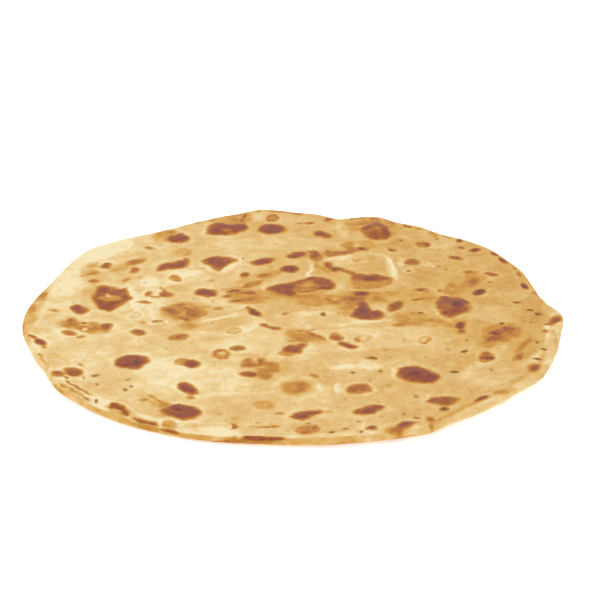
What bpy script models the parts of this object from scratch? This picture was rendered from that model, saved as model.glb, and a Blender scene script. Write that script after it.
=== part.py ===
"""A chapati: one round wheat flatbread, rolled out by hand and browned on a griddle.

The bread is a single solid of dough, lying on its underside at z = 0. It is a thin, uneven disc. Its
outline wanders as hand rolling leaves it, with two blunt corners where the dough was pulled. It is
thickest on one side, where the rim has settled flat. Elsewhere the rim curls a little off the table.
On the +X side a pleat in the rim stands over a tongue of dough, and the largest blisters are low swells.

Metres, +Z up. The origin is the middle of the outline, on the surface that the bread lies on.
"""

import bmesh
import bpy
import numpy as np

MM = 0.001

# Driving dimensions.
THICKNESS = 2.8 * MM  # of the dough, in the middle
TAPER = 0.5 * MM  # thicker by this much at the rim on the heavy side, thinner on the other
HEAVY_SIDE = 235  # degrees from +X
MEAN_RADIUS = 98 * MM
RIM_LIFT = 0.9 * MM  # how far the underside curls up off the table at the rim
SETTLED_LIFT = 0.1 * MM  # what is left of that curl on the heavy side
SETTLED_SPREAD = 45  # degrees either side of the heavy side
CURL_WIDTH = 26 * MM  # how far in from the rim the curl starts

# The outline, as (degrees from +X, radius in mm). Between the knots the rim runs nearly straight.
RIM = (
    (0, 98), (4, 94.2), (12, 94.5), (20, 96.4), (36, 98), (43, 96.6), (50, 93.9), (56, 96.2), (64, 95.4),
    (68, 99), (72, 96.7), (78, 89.6), (84, 94.1), (90, 95.3), (98, 100.9), (104, 97.2), (109, 96.2),
    (113, 95), (123, 92.7), (131, 93.9), (137, 96.9), (146, 100), (152, 98.5), (160, 96.6), (167, 96),
    (180, 99.2), (188, 100.3), (200, 99.2), (210, 99.2), (218, 101.4), (226, 101.1), (242, 100.3),
    (258, 98.6), (266, 98.3), (273, 98.9), (284, 99.9), (292, 101), (296.5, 102.2), (302, 99.8), (310, 100),
    (320, 99.7), (327, 101.4), (334, 100.5), (342, 99.5), (350, 99.3), (356, 100.5),
)  # fmt: skip
RIM_SOFTNESS = 3.0  # degrees either side of a knot over which its corner is rounded

# Gentle waves of the whole sheet: (wavelength in mm, heading in degrees, height in mm, phase in degrees).
WAVES = ((118, 20, 0.28, 40), (86, 105, 0.22, 200), (61, 160, 0.14, 310))

# The largest blisters, as (x, y, radius, height), all in mm.
BLISTERS = (
    (34, 77, 11, 1.2),
    (-28, 78, 10, 0.7),
    (60, 2, 9, 0.6),
    (-69, 9, 9, 0.7),
    (42, -54, 8, 0.5),
    (28, 38, 13, 0.9),
)
BLISTER_STEEPNESS = 1.6

# The pleat: dough inside PLEAT_RADIUS stands over the tongue outside it, between these two angles.
PLEAT_RADIUS = 94.5 * MM
PLEAT_STEP = 0.9 * MM
PLEAT_FRONT = 1.5 * MM  # width of the drop from the pleat onto the tongue
PLEAT_BACK = 14 * MM  # width of the slope from the sheet up to the pleat
PLEAT_ANGLES = (-9, 8)
PLEAT_FADE = 5  # degrees over which each end of the pleat dies away

# The edge in section, from the flat underside out to the rim, up its wall and over onto the top, as
# (inset from the rim in mm, share of the thickness).
EDGE = (
    (26, 0), (14, 0), (7, 0), (3, 0), (1.3, 0.07), (0.4, 0.27), (0, 0.5), (0.1, 0.74), (0.6, 0.93),
    (1.6, 1.02), (3.2, 1.03), (6, 1), (10, 1),
)  # fmt: skip
TOP_RINGS = 12  # rings of points on the top, between the edge and the middle
ANGLE_STEPS = 144

# Baked wheat dough, a pale golden tan.
DOUGH_COLOUR = (0.78, 0.52, 0.19, 1)
DOUGH_ROUGHNESS = 0.7


def smoothstep(t):
    """0 below 0, 1 above 1, and an S-shaped rise between."""
    t = np.clip(t, 0, 1)
    return t * t * (3 - 2 * t)


def rim_radius(degrees):
    """The rim's radius at each angle: straight runs between the knots, with their corners averaged round."""
    knots = np.array(RIM)
    offsets = np.linspace(-RIM_SOFTNESS, RIM_SOFTNESS, 13)
    weights = 1 + np.cos(np.pi * offsets / RIM_SOFTNESS)
    near = np.interp(degrees[:, None] + offsets, knots[:, 0], knots[:, 1], period=360)
    return near @ weights / weights.sum() * MM


def rim_lift(degrees):
    """How far the underside of the rim is off the table at each angle."""
    from_heavy = (degrees - HEAVY_SIDE + 180) % 360 - 180
    settled = np.exp(-((from_heavy / SETTLED_SPREAD) ** 2))
    return RIM_LIFT + (SETTLED_LIFT - RIM_LIFT) * settled


def sheet_thickness(x, y):
    """The dough's thickness: the middle value, the taper, the waves and the blisters added up."""
    heavy = np.radians(HEAVY_SIDE)
    height = THICKNESS + TAPER * (x * np.cos(heavy) + y * np.sin(heavy)) / MEAN_RADIUS
    for length, heading, rise, phase in WAVES:
        along = x * np.cos(np.radians(heading)) + y * np.sin(np.radians(heading))
        height = height + rise * MM * np.sin(2 * np.pi * along / (length * MM) + np.radians(phase))
    for at_x, at_y, radius, rise in BLISTERS:
        away = np.hypot(x - at_x * MM, y - at_y * MM) / (radius * MM)
        height = height + rise * MM * np.exp(-((BLISTER_STEEPNESS * away) ** 2))
    return height


def pleat_height(x, y):
    """A slope up towards the rim that ends in a step down onto the tongue, between two angles."""
    outwards = np.hypot(x, y) - PLEAT_RADIUS
    degrees = np.degrees(np.arctan2(y, x))
    first, last = PLEAT_ANGLES
    between = smoothstep((degrees - first) / PLEAT_FADE) * smoothstep((last - degrees) / PLEAT_FADE)
    slope = smoothstep(1 + outwards / PLEAT_BACK)
    step = 1 - smoothstep(outwards / PLEAT_FRONT)
    return PLEAT_STEP * between * slope * step


def ring_points(degrees, inset, share):
    """One ring of points, inset from the rim and at its share of the thickness over the underside."""
    radius = rim_radius(degrees) * (1 - inset * MM / MEAN_RADIUS)
    x = radius * np.cos(np.radians(degrees))
    y = radius * np.sin(np.radians(degrees))
    curl = rim_lift(degrees) * smoothstep(1 - inset * MM / CURL_WIDTH)
    z = curl + share * (sheet_thickness(x, y) + pleat_height(x, y))
    return np.column_stack([x, y, z])


def bread_mesh():
    """Bridges the rings, with a flat face below the first and a fan of triangles over the last."""
    degrees = np.arange(ANGLE_STEPS) * 360 / ANGLE_STEPS
    outline = ring_points(degrees, 0, 1)[:, :2]
    middle = (outline.max(axis=0) + outline.min(axis=0)) / 2
    edge_end = EDGE[-1][0]
    ring_gap = (MEAN_RADIUS / MM - edge_end) / (TOP_RINGS + 1)
    section = [*EDGE, *((edge_end + ring_gap * i, 1) for i in range(1, TOP_RINGS + 1))]

    bm = bmesh.new()
    rings = []
    for inset, share in section:
        points = ring_points(degrees, inset, share) - [*middle, 0]
        rings.append([bm.verts.new(point) for point in points])
    peak = bm.verts.new((*-middle, sheet_thickness(0.0, 0.0)))
    bm.faces.new(reversed(rings[0]))
    for i in range(ANGLE_STEPS):
        j = (i + 1) % ANGLE_STEPS
        for lower, upper in zip(rings, rings[1:]):
            bm.faces.new((lower[i], lower[j], upper[j], upper[i]))
        bm.faces.new((rings[-1][i], rings[-1][j], peak))

    mesh = bpy.data.meshes.new("flatbread")
    bm.to_mesh(mesh)
    bm.free()
    mesh.shade_smooth()
    return mesh


def dough_material():
    material = bpy.data.materials.new("baked_dough")
    material.use_nodes = True
    shader = material.node_tree.nodes["Principled BSDF"]
    shader.inputs["Base Color"].default_value = DOUGH_COLOUR
    shader.inputs["Roughness"].default_value = DOUGH_ROUGHNESS
    shader.inputs["Metallic"].default_value = 0
    return material


for leftover in list(bpy.data.objects):
    bpy.data.objects.remove(leftover)
flatbread = bpy.data.objects.new("flatbread", bread_mesh())
flatbread.data.materials.append(dough_material())
bpy.context.scene.collection.objects.link(flatbread)
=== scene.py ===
import bpy
import numpy as np
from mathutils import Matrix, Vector


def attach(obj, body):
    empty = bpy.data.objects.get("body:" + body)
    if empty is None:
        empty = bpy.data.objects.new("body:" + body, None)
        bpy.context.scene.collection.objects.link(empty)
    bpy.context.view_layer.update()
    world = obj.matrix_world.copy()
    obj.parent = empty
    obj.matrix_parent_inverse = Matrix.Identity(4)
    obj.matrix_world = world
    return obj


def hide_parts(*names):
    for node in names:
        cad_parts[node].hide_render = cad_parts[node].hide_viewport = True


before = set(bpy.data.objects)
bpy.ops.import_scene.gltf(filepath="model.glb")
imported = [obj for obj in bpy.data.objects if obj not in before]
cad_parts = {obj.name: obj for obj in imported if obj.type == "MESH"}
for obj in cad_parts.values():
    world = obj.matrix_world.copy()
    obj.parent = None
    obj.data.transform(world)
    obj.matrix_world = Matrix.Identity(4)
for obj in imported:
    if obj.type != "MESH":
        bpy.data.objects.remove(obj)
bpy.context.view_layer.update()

# ---------------------------------------------------------------- the dough sheet
# A ball of wheat dough rolled out by hand into a thin disc about 200 mm across. The pin leaves it
# uneven in outline and thickness. Its rim is a soft rounded wall, thick and settled on the near left
# and thinner elsewhere, where it curls a little off the table. All lengths below are in mm.

MIDDLE_THICKNESS = 2.8
TAPER = 0.5  # thicker by this much at the rim on the heavy side, thinner on the other
HEAVY_SIDE = 235  # degrees from +X
MEAN_RADIUS = 98
RIM_LIFT = 0.9  # of the underside at the rim
SETTLED_LIFT = 0.1  # the same on the heavy side
SETTLED_SPREAD = 45  # degrees either side of the heavy side
CURL_WIDTH = 26  # how far in from the rim the curl starts

# The outline as (degrees, radius). Between the knots the rim runs nearly straight.
RIM = (
    (0, 98), (4, 94.2), (12, 94.5), (20, 96.4), (36, 98), (43, 96.6), (50, 93.9), (56, 96.2), (64, 95.4),
    (68, 99), (72, 96.7), (78, 89.6), (84, 94.1), (90, 95.3), (98, 100.9), (104, 97.2), (109, 96.2),
    (113, 95), (123, 92.7), (131, 93.9), (137, 96.9), (146, 100), (152, 98.5), (160, 96.6), (167, 96),
    (180, 99.2), (188, 100.3), (200, 99.2), (210, 99.2), (218, 101.4), (226, 101.1), (242, 100.3),
    (258, 98.6), (266, 98.3), (273, 98.9), (284, 99.9), (292, 101), (296.5, 102.2), (302, 99.8), (310, 100),
    (320, 99.7), (327, 101.4), (334, 100.5), (342, 99.5), (350, 99.3), (356, 100.5),
)  # fmt: skip
RIM_SOFTNESS = 3.0  # degrees either side of a knot over which its corner is rounded
RIM_SAMPLES = 13  # taken over them

# The sheet's long waves: (wavelength, heading in degrees, height, phase in degrees).
WAVES = ((118, 20, 0.28, 40), (86, 105, 0.22, 200), (61, 160, 0.14, 310))

# The largest blisters: (x, y, radius, height).
SWELLS = (
    (34, 77, 11, 1.2), (-28, 78, 10, 0.7), (60, 2, 9, 0.6), (-69, 9, 9, 0.7), (42, -54, 8, 0.5),
    (28, 38, 13, 0.9),
)  # fmt: skip
SWELL_STEEPNESS = 1.6


def smoothstep(t):
    """0 below 0, 1 above 1, and an S-shaped rise between: three times t squared less twice t cubed."""
    t = np.clip(t, 0, 1)
    return t * t * (3 - 2 * t)


def bell(t):
    """1 at 0, falling to 0 either way, as e to the power of less t squared."""
    return np.exp(-(t**2))


def polar(radius, angle):
    """The x and y of each point: its radius times the cosine and the sine of its angle in degrees."""
    return radius * np.cos(np.radians(angle)), radius * np.sin(np.radians(angle))


def rim_radius(angle):
    """The outline: straight runs between the knots, each point the weighted mean of its neighbourhood,
    so that corners are round. Angles are in degrees."""
    knots = np.array(RIM)
    offsets = np.linspace(-RIM_SOFTNESS, RIM_SOFTNESS, RIM_SAMPLES)
    weights = 1 + np.cos(np.pi * offsets / RIM_SOFTNESS)
    near = np.interp(angle[..., None] + offsets, knots[:, 0], knots[:, 1], period=360)
    return near @ weights / weights.sum()


def off_heavy_side(angle):
    """1 in the middle of the heavy side, falling as a bell curve to 0 away from it."""
    away = (angle - HEAVY_SIDE + 180) % 360 - 180
    return bell(away / SETTLED_SPREAD)


def underside_height(angle, inset):
    """0 under the middle of the bread, curling up to the rim's lift as an S over the curl's width."""
    lift = RIM_LIFT + (SETTLED_LIFT - RIM_LIFT) * off_heavy_side(angle)
    return lift * smoothstep(1 - inset / CURL_WIDTH)


def sheet_thickness(x, y):
    """The middle thickness, plus a taper, plus long sine waves, plus a bell for each large blister."""
    across, up = polar(1, HEAVY_SIDE)
    height = MIDDLE_THICKNESS + TAPER * (x * across + y * up) / MEAN_RADIUS
    for length, heading, rise, phase in WAVES:
        across, up = polar(1, heading)
        height = height + rise * np.sin(2 * np.pi * (x * across + y * up) / length + np.radians(phase))
    for at_x, at_y, radius, rise in SWELLS:
        away = np.hypot(x - at_x, y - at_y) / radius
        height = height + rise * bell(SWELL_STEEPNESS * away)
    return height


# ---------------------------------------------------------------- the rim's folds and torn skin
# Rolling folds a little dough over at the rim, and baking lifts a thin skin off the layers below it.
# On the +X side a pleat stands over a tongue of dough. On the near left the skin is torn back from the
# rim, which shows the layer below, and the pin has left two furrows side by side.

LATTICE = 256  # random values each way, after which lumps repeat

PLEAT_RADIUS = 94.5
PLEAT_RAGGED = (0.4, 3.0)  # how far its front wanders, and over what length
PLEAT_STEP = 0.9
PLEAT_FRONT = 0.8  # width of the drop onto the tongue
PLEAT_BACK = 14  # width of the slope up to the pleat
PLEAT_ANGLES = (-9, 8)
PLEAT_FADE = 5  # degrees over which each end dies away

# Where the skin ends, as a path with the torn side on its right, and the drop there.
TORN_SKIN = (
    (-70, -70.5), (-66, -72.5), (-62.5, -74.5), (-59, -75), (-56, -77), (-54, -80), (-52, -82.5),
    (-48.5, -84.5), (-45, -86), (-42, -87), (-37, -86.8), (-31, -87.6), (-24, -88.2), (-19, -88.6),
    (-14, -89.2),
)  # fmt: skip
TORN_DROP = 0.7
TORN_WIDTH = 0.9  # of the drop
TORN_RAGGED = ((0.5, 2.2, 7), (0.25, 0.9, 8))  # how far its edge wanders, over what length, and the seed
TORN_FADE = (0.06, 0.15)  # the shares of its length over which it begins and ends

PATH_RAGGED = (0.25, 2.0)  # how far the width of a line wanders, and over what length
PATH_FADE = 0.12  # the share of its length over which each end fades
PATH_END = 0.25  # the share of its height that is left at its very end

# Furrows and ridges as (half width, depth or height, path).
FURROWS = (
    (0.7, 0.35, ((-78, -57.5), (-74, -62.5), (-70, -66), (-66, -69))),
    (0.9, 0.3, ((-80, -60), (-76, -64.5), (-71.5, -68.5), (-67, -72.5))),
    (0.6, 0.3, ((-52, -83.5), (-47, -86), (-43, -87.6))),
    (0.5, 0.25, ((-14, -89.4), (-9, -89.6), (-4, -89.5))),
    (0.45, 0.4, ((-18, -86), (-19, -88.4), (-18, -90))),
    (0.45, 0.3, ((-19, -88.4), (-20.5, -90.5))),
    (0.6, 0.2, ((12.5, 42.5), (18, 38), (23, 34.5))),
    (0.7, 0.15, ((-2, 22), (3, 25.5), (8, 29))),
    (0.7, 0.15, ((1, -19), (6, -22), (12, -27))),
)
RIDGES = (
    (0.9, 0.35, ((36, 51), (38.5, 46), (39.5, 40), (40, 34), (39, 31))),
    (1.1, 0.25, ((13, 45), (17, 49.5), (24, 50), (30, 54), (36, 51))),
    (0.7, 0.22, ((7, 42), (7.5, 36), (5.5, 30))),
    (0.6, 0.22, ((-35, 42), (-32, 36), (-29.5, 34), (-27, 38), (-22, 43))),
    (0.7, 0.25, ((-62, 20), (-60.5, 10), (-59, 5), (-54, 1), (-51, -3))),
    (0.6, 0.2, ((-64, -1), (-59, 5), (-56, 9))),
    (0.5, 0.3, ((-67, -71), (-62, -73.4), (-58.6, -73.8), (-55, -75.8), (-52.6, -79.4), (-50.4, -81.6))),
    (0.5, 0.3, ((-50.4, -81.6), (-44.6, -84.8), (-37, -85.6), (-31, -86.4), (-24, -87), (-14, -88))),
    (0.5, 0.24, ((-47, -88.4), (-38, -91.2), (-30, -93.6), (-22, -95.2), (-12, -96.6), (0, -97.6))),
    (0.4, 0.24, ((-79.4, -58.4), (-75, -63.2), (-70.6, -67.2), (-66, -70.6))),
    (0.5, 0.24, ((-83.6, -56), (-79, -62.4), (-73.4, -68.4), (-67, -74.2))),
    (0.5, 0.2, ((-58, 22), (-54, 24), (-50, 22.6), (-47, 24))),
    (0.5, 0.2, ((-54, 9.6), (-50, 8.6), (-45, 10))),
    (0.5, 0.15, ((-3, -19), (-6, -12), (-5, -7))),
    (0.7, 0.2, ((-31, -8), (-26, -6.5), (-20, -3))),
    (0.8, 0.2, ((-45, 34), (-41, 31), (-37, 33))),
    (0.8, 0.25, ((94, -12), (92, -22), (89, -32), (86, -40), (83, -45))),
    (0.9, 0.2, ((-14, -16), (-17, -19), (-16, -23))),
    (0.7, 0.2, ((15.5, -59.5), (14.8, -63), (16, -66))),
    (0.7, 0.2, ((-93, 8), (-92, 0), (-93, -9), (-94, -18))),
    (0.9, 0.2, ((15, -47.5), (22, -47), (29, -49.5))),
    (0.8, 0.15, ((20, -13), (30, -11), (38, -10))),
)


def lumps(x, y, size, seed):
    """Random smooth lumps from -1 to 1: a random value at each corner of a lattice of that size, with
    an S-shaped blend between the four corners round a point. Each use has a seed of its own."""
    values = np.random.default_rng(seed).uniform(-1, 1, (LATTICE, LATTICE))
    u, v = x / size, y / size
    i, j = np.floor(u).astype(int), np.floor(v).astype(int)
    u, v = smoothstep(u - i), smoothstep(v - j)
    i, j, right, above = i % LATTICE, j % LATTICE, (i + 1) % LATTICE, (j + 1) % LATTICE
    low = values[i, j] * (1 - u) + values[right, j] * u
    high = values[i, above] * (1 - u) + values[right, above] * u
    return low * (1 - v) + high * v


def between(value, first, last, rise, fall):
    """0 up to the first value and from the last on, and 1 in the middle: the product of an S-shaped rise
    and an S-shaped fall of these widths."""
    return smoothstep((value - first) / rise) * smoothstep((last - value) / fall)


def near_path(x, y, path):
    """The distance to a path of straight runs, how far to the right of it, and how far along it from 0
    to 1. Each run is tried in turn, and a point keeps the nearest."""
    points = np.array(path, float)
    runs = np.diff(points, axis=0)
    lengths = np.hypot(runs[:, 0], runs[:, 1])
    begun = np.concatenate([[0], np.cumsum(lengths)])
    nearest = np.full(x.shape, np.inf)
    right = np.zeros(x.shape)
    along = np.zeros(x.shape)
    for (start_x, start_y), (run_x, run_y), length, before in zip(points, runs, lengths, begun):
        share = np.clip(((x - start_x) * run_x + (y - start_y) * run_y) / length**2, 0, 1)
        off_x, off_y = x - start_x - share * run_x, y - start_y - share * run_y
        away = np.hypot(off_x, off_y)
        closer = away < nearest
        nearest = np.where(closer, away, nearest)
        right = np.where(closer, np.sign(run_y * off_x - run_x * off_y) * away, right)
        along = np.where(closer, (before + share * length) / begun[-1], along)
    return nearest, right, along


def along_path(x, y, paths):
    """The sum over the paths of a bell across each, as high as its own height and fading at its ends."""
    far, length = PATH_RAGGED
    ragged = far * lumps(x, y, length, 5)
    total = np.zeros(x.shape)
    for half_width, height, path in paths:
        away, _, along = near_path(x, y, path)
        lengthways = PATH_END + (1 - PATH_END) * between(along, 0, 1, PATH_FADE, PATH_FADE)
        total = total + height * bell((away + ragged) / half_width) * lengthways
    return total


def torn_side(x, y):
    """0 on the skin and 1 where it is torn away, with a ragged S-shaped edge that fades at its ends."""
    _, right, along = near_path(x, y, TORN_SKIN)
    for far, length, seed in TORN_RAGGED:
        right = right + far * lumps(x, y, length, seed)
    return smoothstep(0.5 + right / TORN_WIDTH) * between(along, 0, 1, *TORN_FADE)


def pleat_height(x, y):
    """A slope up towards the rim that ends in a step down onto the tongue, both S-shaped, between two
    angles."""
    far, length = PLEAT_RAGGED
    outwards = np.hypot(x, y) - PLEAT_RADIUS + far * lumps(x, y, length, 9)
    angle = np.degrees(np.arctan2(y, x))
    round_the_rim = between(angle, *PLEAT_ANGLES, PLEAT_FADE, PLEAT_FADE)
    slope = smoothstep(1 + outwards / PLEAT_BACK)
    step = 1 - smoothstep(outwards / PLEAT_FRONT)
    return PLEAT_STEP * round_the_rim * slope * step


# ---------------------------------------------------------------- the griddle's browning
# Where the dough bulges it touches the hot iron and browns: first gold, then brown, then a dull
# purplish char in the middle of the largest spots. Each spot stays as a low blister. Between them the
# dough stays pale, and palest where it is floury or lifted off the iron. Painted highlights also pale
# the ridges, the rims round bubbles and bands along the rim's edge, and painted shade darkens the
# furrows.

# Spots as (x, y, half length, half width, heading in degrees, browning). 0.2 is gold, 0.45 orange brown,
# 0.7 brown and 1 char.
SPOTS = (
    # far side, from left to right
    (-47, 67, 2, 1.8, 0, 0.88), (-53.6, 75, 2, 1.3, 20, 0.46), (-41, 83.3, 1.8, 1.3, 30, 0.44),
    (-31, 78, 3.6, 3, 0, 0.84), (-23, 78, 2.6, 3, 60, 0.8), (-9.3, 77, 6, 5.6, 0, 0.8),
    (-9, 88.6, 3.8, 2.8, 80, 0.36), (12, 71.5, 2.4, 2, -40, 0.82), (2.6, 83, 2, 1.2, 0, 0.36),
    (6.2, 83.3, 2.4, 1.4, 10, 0.56), (14.7, 86.6, 2.8, 1.7, 50, 0.5), (34.4, 75.6, 5.4, 4.4, 82, 0.6),
    (35.2, 70.2, 4, 2, 8, 0.62), (34, 84.6, 4, 3, 80, 0.42), (53.8, 61.4, 1.9, 1.7, 0, 0.74),
    (40, 57.4, 1.8, 1.9, 0, 0.62), (38.4, 59.8, 1.6, 1, -50, 0.42), (-58.4, 57.3, 2.2, 1.4, -15, 0.6),
    # the streaky middle
    (30.4, 28, 5, 2.2, -4, 0.88), (26.7, 58.3, 2, 1.9, 0, 0.9), (23, 57.6, 2.2, 1.8, 0, 0.55),
    (18.6, 52.6, 3.4, 1.4, 12, 0.62), (14, 54, 2.4, 1.1, 95, 0.5), (1, 50.2, 4.7, 3, 32, 0.72),
    (-12.2, 43.6, 5, 3.1, 25, 0.72), (-29.8, 42.2, 3.4, 2.4, 90, 0.84), (-28.4, 46, 3.4, 2, 0, 0.76),
    (-31.2, 48.6, 2.6, 1.2, 0, 0.5), (-1.4, 36.8, 3.9, 3.5, 0, 0.92), (24, 46.4, 1.3, 1, 0, 0.3),
    (-19, 31, 2.8, 2, 85, 0.56), (-11.8, 30.6, 3.4, 1.9, 25, 0.52), (-16, 22.6, 4.8, 2.2, 40, 0.44),
    (-5.4, 18.6, 3.6, 3, 0, 0.84), (12.4, 24.4, 3.6, 2.4, 75, 0.66), (12.4, 19.2, 3.4, 1.9, 5, 0.88),
    (-34.6, 15.8, 3.4, 3.2, 0, 0.92), (-19.6, 15, 6, 3, 0, 0.36), (-23.3, 17, 2.8, 1.4, 10, 0.68),
    (-17.4, 14.4, 4.2, 1.2, -10, 0.68), (-25, 12, 2.2, 1.5, 0, 0.56), (-21, 8, 3.6, 1.5, 20, 0.6),
    (-16.4, 8.4, 2, 1.2, 0, 0.5), (-13, 8, 1.6, 1, 40, 0.4), (26, 14.6, 4, 3.2, 5, 0.7),
    (26.6, 14.4, 2.2, 1.9, 0, 1.0), (48.6, 18.3, 2.6, 2, 10, 0.74), (38.5, 14.6, 3, 1.6, 50, 0.32),
    (47.6, 9, 3.2, 1.4, 20, 0.58), (13.2, 8.8, 2.6, 1.4, -62, 0.58), (20.8, 6.4, 3.4, 1.5, 95, 0.5),
    (31.2, 8.6, 1.6, 1.4, 0, 0.46), (-38.2, -13.6, 3.2, 2.2, 0, 0.32), (-3, -4, 1.8, 1.1, 50, 0.36),
    (6, 4.4, 2.4, 1.2, 70, 0.3),
    # left
    (-73.8, 38.8, 2.9, 2, 60, 0.66), (-62.5, 36.4, 2.8, 1.9, 80, 0.64), (-62.4, 45, 3.4, 1.2, 42, 0.32),
    (-77, 24.3, 2.5, 1.5, 40, 0.5), (-65.3, 26.3, 2.2, 1.3, 70, 0.42), (-55.4, 14.8, 2.5, 1.5, 80, 0.58),
    (-48.3, 14.8, 2.9, 2.1, -35, 0.62), (-49.6, 17.6, 1.9, 1.2, 100, 0.52), (-51, 20.6, 1.8, 0.9, 95, 0.34),
    (-56, 7.5, 2.6, 1.3, 5, 0.52), (-46, 28.8, 3.2, 1.8, -55, 0.36), (-80, -0.6, 4.2, 3.2, -50, 0.68),
    (-89, -3, 2.3, 1.1, -25, 0.5), (-94.7, 9.5, 2.8, 1.6, 65, 0.48), (-81.5, -12, 4.2, 1.9, 85, 0.5),
    (-77, -16.4, 4.6, 1.8, -20, 0.42), (-68.5, -15, 3.2, 2.5, 75, 0.62), (-72, -15.6, 2.4, 2, 0, 0.48),
    (-74, -18.8, 3.4, 1.2, 0, 0.3), (-81.4, -21.4, 2.8, 1.8, -25, 0.54), (-77, -24.5, 1.8, 1.3, 20, 0.42),
    (-90.3, -30, 3.4, 1.9, -60, 0.94), (-88.6, -33, 1.9, 1.2, -65, 0.34),
    (-75.6, -52.3, 3.8, 2.6, -40, 0.64), (-80.9, -54, 2.7, 1.8, -45, 0.68),
    (-55.6, -10.4, 1.5, 1.3, 0, 0.3), (-14.4, -3, 4.4, 1.8, -62, 0.9), (-16.6, 1, 2, 1.3, -70, 0.55),
    (-10.5, -13.7, 2.2, 1.4, -45, 0.58), (-7.2, -16, 2.8, 1.5, -18, 0.58), (-41.6, -24, 2.4, 1.6, 0, 0.66),
    (-45, -0.6, 3.6, 2.2, -30, 0.56), (-37.4, -2.6, 4.4, 3, 70, 0.54), (-28, 0.8, 2, 1.7, 0, 0.38),
    # near side, from left to right
    (-19.7, -32.4, 2.5, 1.9, 0, 0.52), (-25.3, -36.7, 4.1, 2.8, 90, 0.38),
    (-34.4, -44.8, 2.4, 2.2, 0, 0.84), (-38.6, -43.8, 2.4, 2.6, 0, 0.36), (-15.4, -52, 3.2, 2, 0, 0.68),
    (-9.4, -52.4, 3.6, 2.6, -45, 0.44), (-7.4, -46.6, 3.4, 2.2, 75, 0.42), (-0.6, -33.6, 2.6, 2.4, 0, 0.8),
    (-2.6, -36.6, 2.4, 2, 0, 0.33), (15.6, -24, 3.1, 2.2, -60, 0.46), (16.2, -25.4, 1.8, 1.5, 0, 0.62),
    (39, -13.8, 2.8, 1.5, 20, 0.52), (42.8, -53.8, 4.8, 3, -15, 1.15), (7, -53.8, 2.1, 1.4, -50, 0.36),
    (-36.4, -63, 2.6, 1.7, -60, 0.92), (-34.4, -69, 1.5, 1.2, 0, 0.34), (-49.4, -71.6, 1.7, 1.5, 0, 0.5),
    (3.6, -81.4, 2.8, 2, 20, 0.78), (-4.2, -80, 2.2, 0.9, -15, 0.34), (11.4, -79.4, 1.6, 0.8, 10, 0.3),
    (25.2, -78.5, 3, 2, 15, 0.88), (50.6, -73, 3.6, 2.9, 0, 0.84), (45.2, -86.2, 2.5, 1.8, -60, 0.68),
    (36, -89.6, 3.2, 1.7, 42, 0.78), (32, -93.4, 2.2, 1.6, 20, 0.46), (5, -92, 3.8, 3, 0, 0.36),
    (4.6, -94, 2.2, 1.3, 0, 0.58), (7, -91, 1.5, 2.1, 0, 0.56), (-55, -44, 4.4, 3.4, 0, 0.96),
    (-37, -78.4, 4.6, 3, 0, 0.92), (25.7, -91.9, 2, 1.5, 0, 0.72), (-40, -87.6, 2.4, 2.3, 0, 0.27),
    (-6, -89.2, 2.2, 0.9, 0, 0.48), (-18.6, -83.6, 1.9, 1.1, 50, 0.22), (63, -71.8, 3, 1.3, 34, 0.8),
    # right
    (61.6, 4, 5, 3.6, 80, 1.02), (57.4, -3.4, 2.4, 2.6, 0, 0.76), (56.8, 9.4, 2.4, 2.6, 0, 0.7),
    (61.3, -13, 3.8, 2, 85, 0.96), (61.5, -18.4, 2.4, 1.5, 50, 0.74), (71, 16.8, 3.2, 2.1, 62, 1.1),
    (69, 36, 2.2, 1.8, 0, 0.6), (72.8, 55.8, 2.7, 1.8, 20, 0.76), (64.6, 49, 2.8, 1.9, -38, 0.68),
    (77.6, 33, 2.6, 1.7, -25, 0.7), (89, 20.4, 3, 1.4, 100, 1.1), (83.4, 45, 3.4, 1.6, 105, 0.76),
    (80.6, 51.4, 2.5, 1.4, 115, 0.62), (88.3, 31.6, 2.9, 1.1, 95, 0.54), (87, 37.4, 1.9, 1, 110, 0.48),
    (92, 13, 1.9, 1.2, 100, 0.5), (67.8, 64.4, 2, 1.5, 80, 0.74), (67.8, 58.4, 1.4, 1.2, 0, 0.62),
    (73.8, -20.2, 3.2, 1.8, 10, 0.92), (76.6, -18.4, 5, 4, 30, 0.5), (69, -40.2, 2.2, 1.4, 10, 1.0),
    (67, -39.4, 2, 1.2, 85, 0.76), (80, -39, 3, 1.7, 62, 0.46), (78, -41.4, 1.8, 1, 20, 0.4),
    (96.4, -11, 4.8, 2, 62, 0.74), (91.8, -19.6, 1.6, 1.3, 0, 0.5), (84.8, -10.8, 1.1, 1.1, 0, 0.5),
)  # fmt: skip

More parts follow.
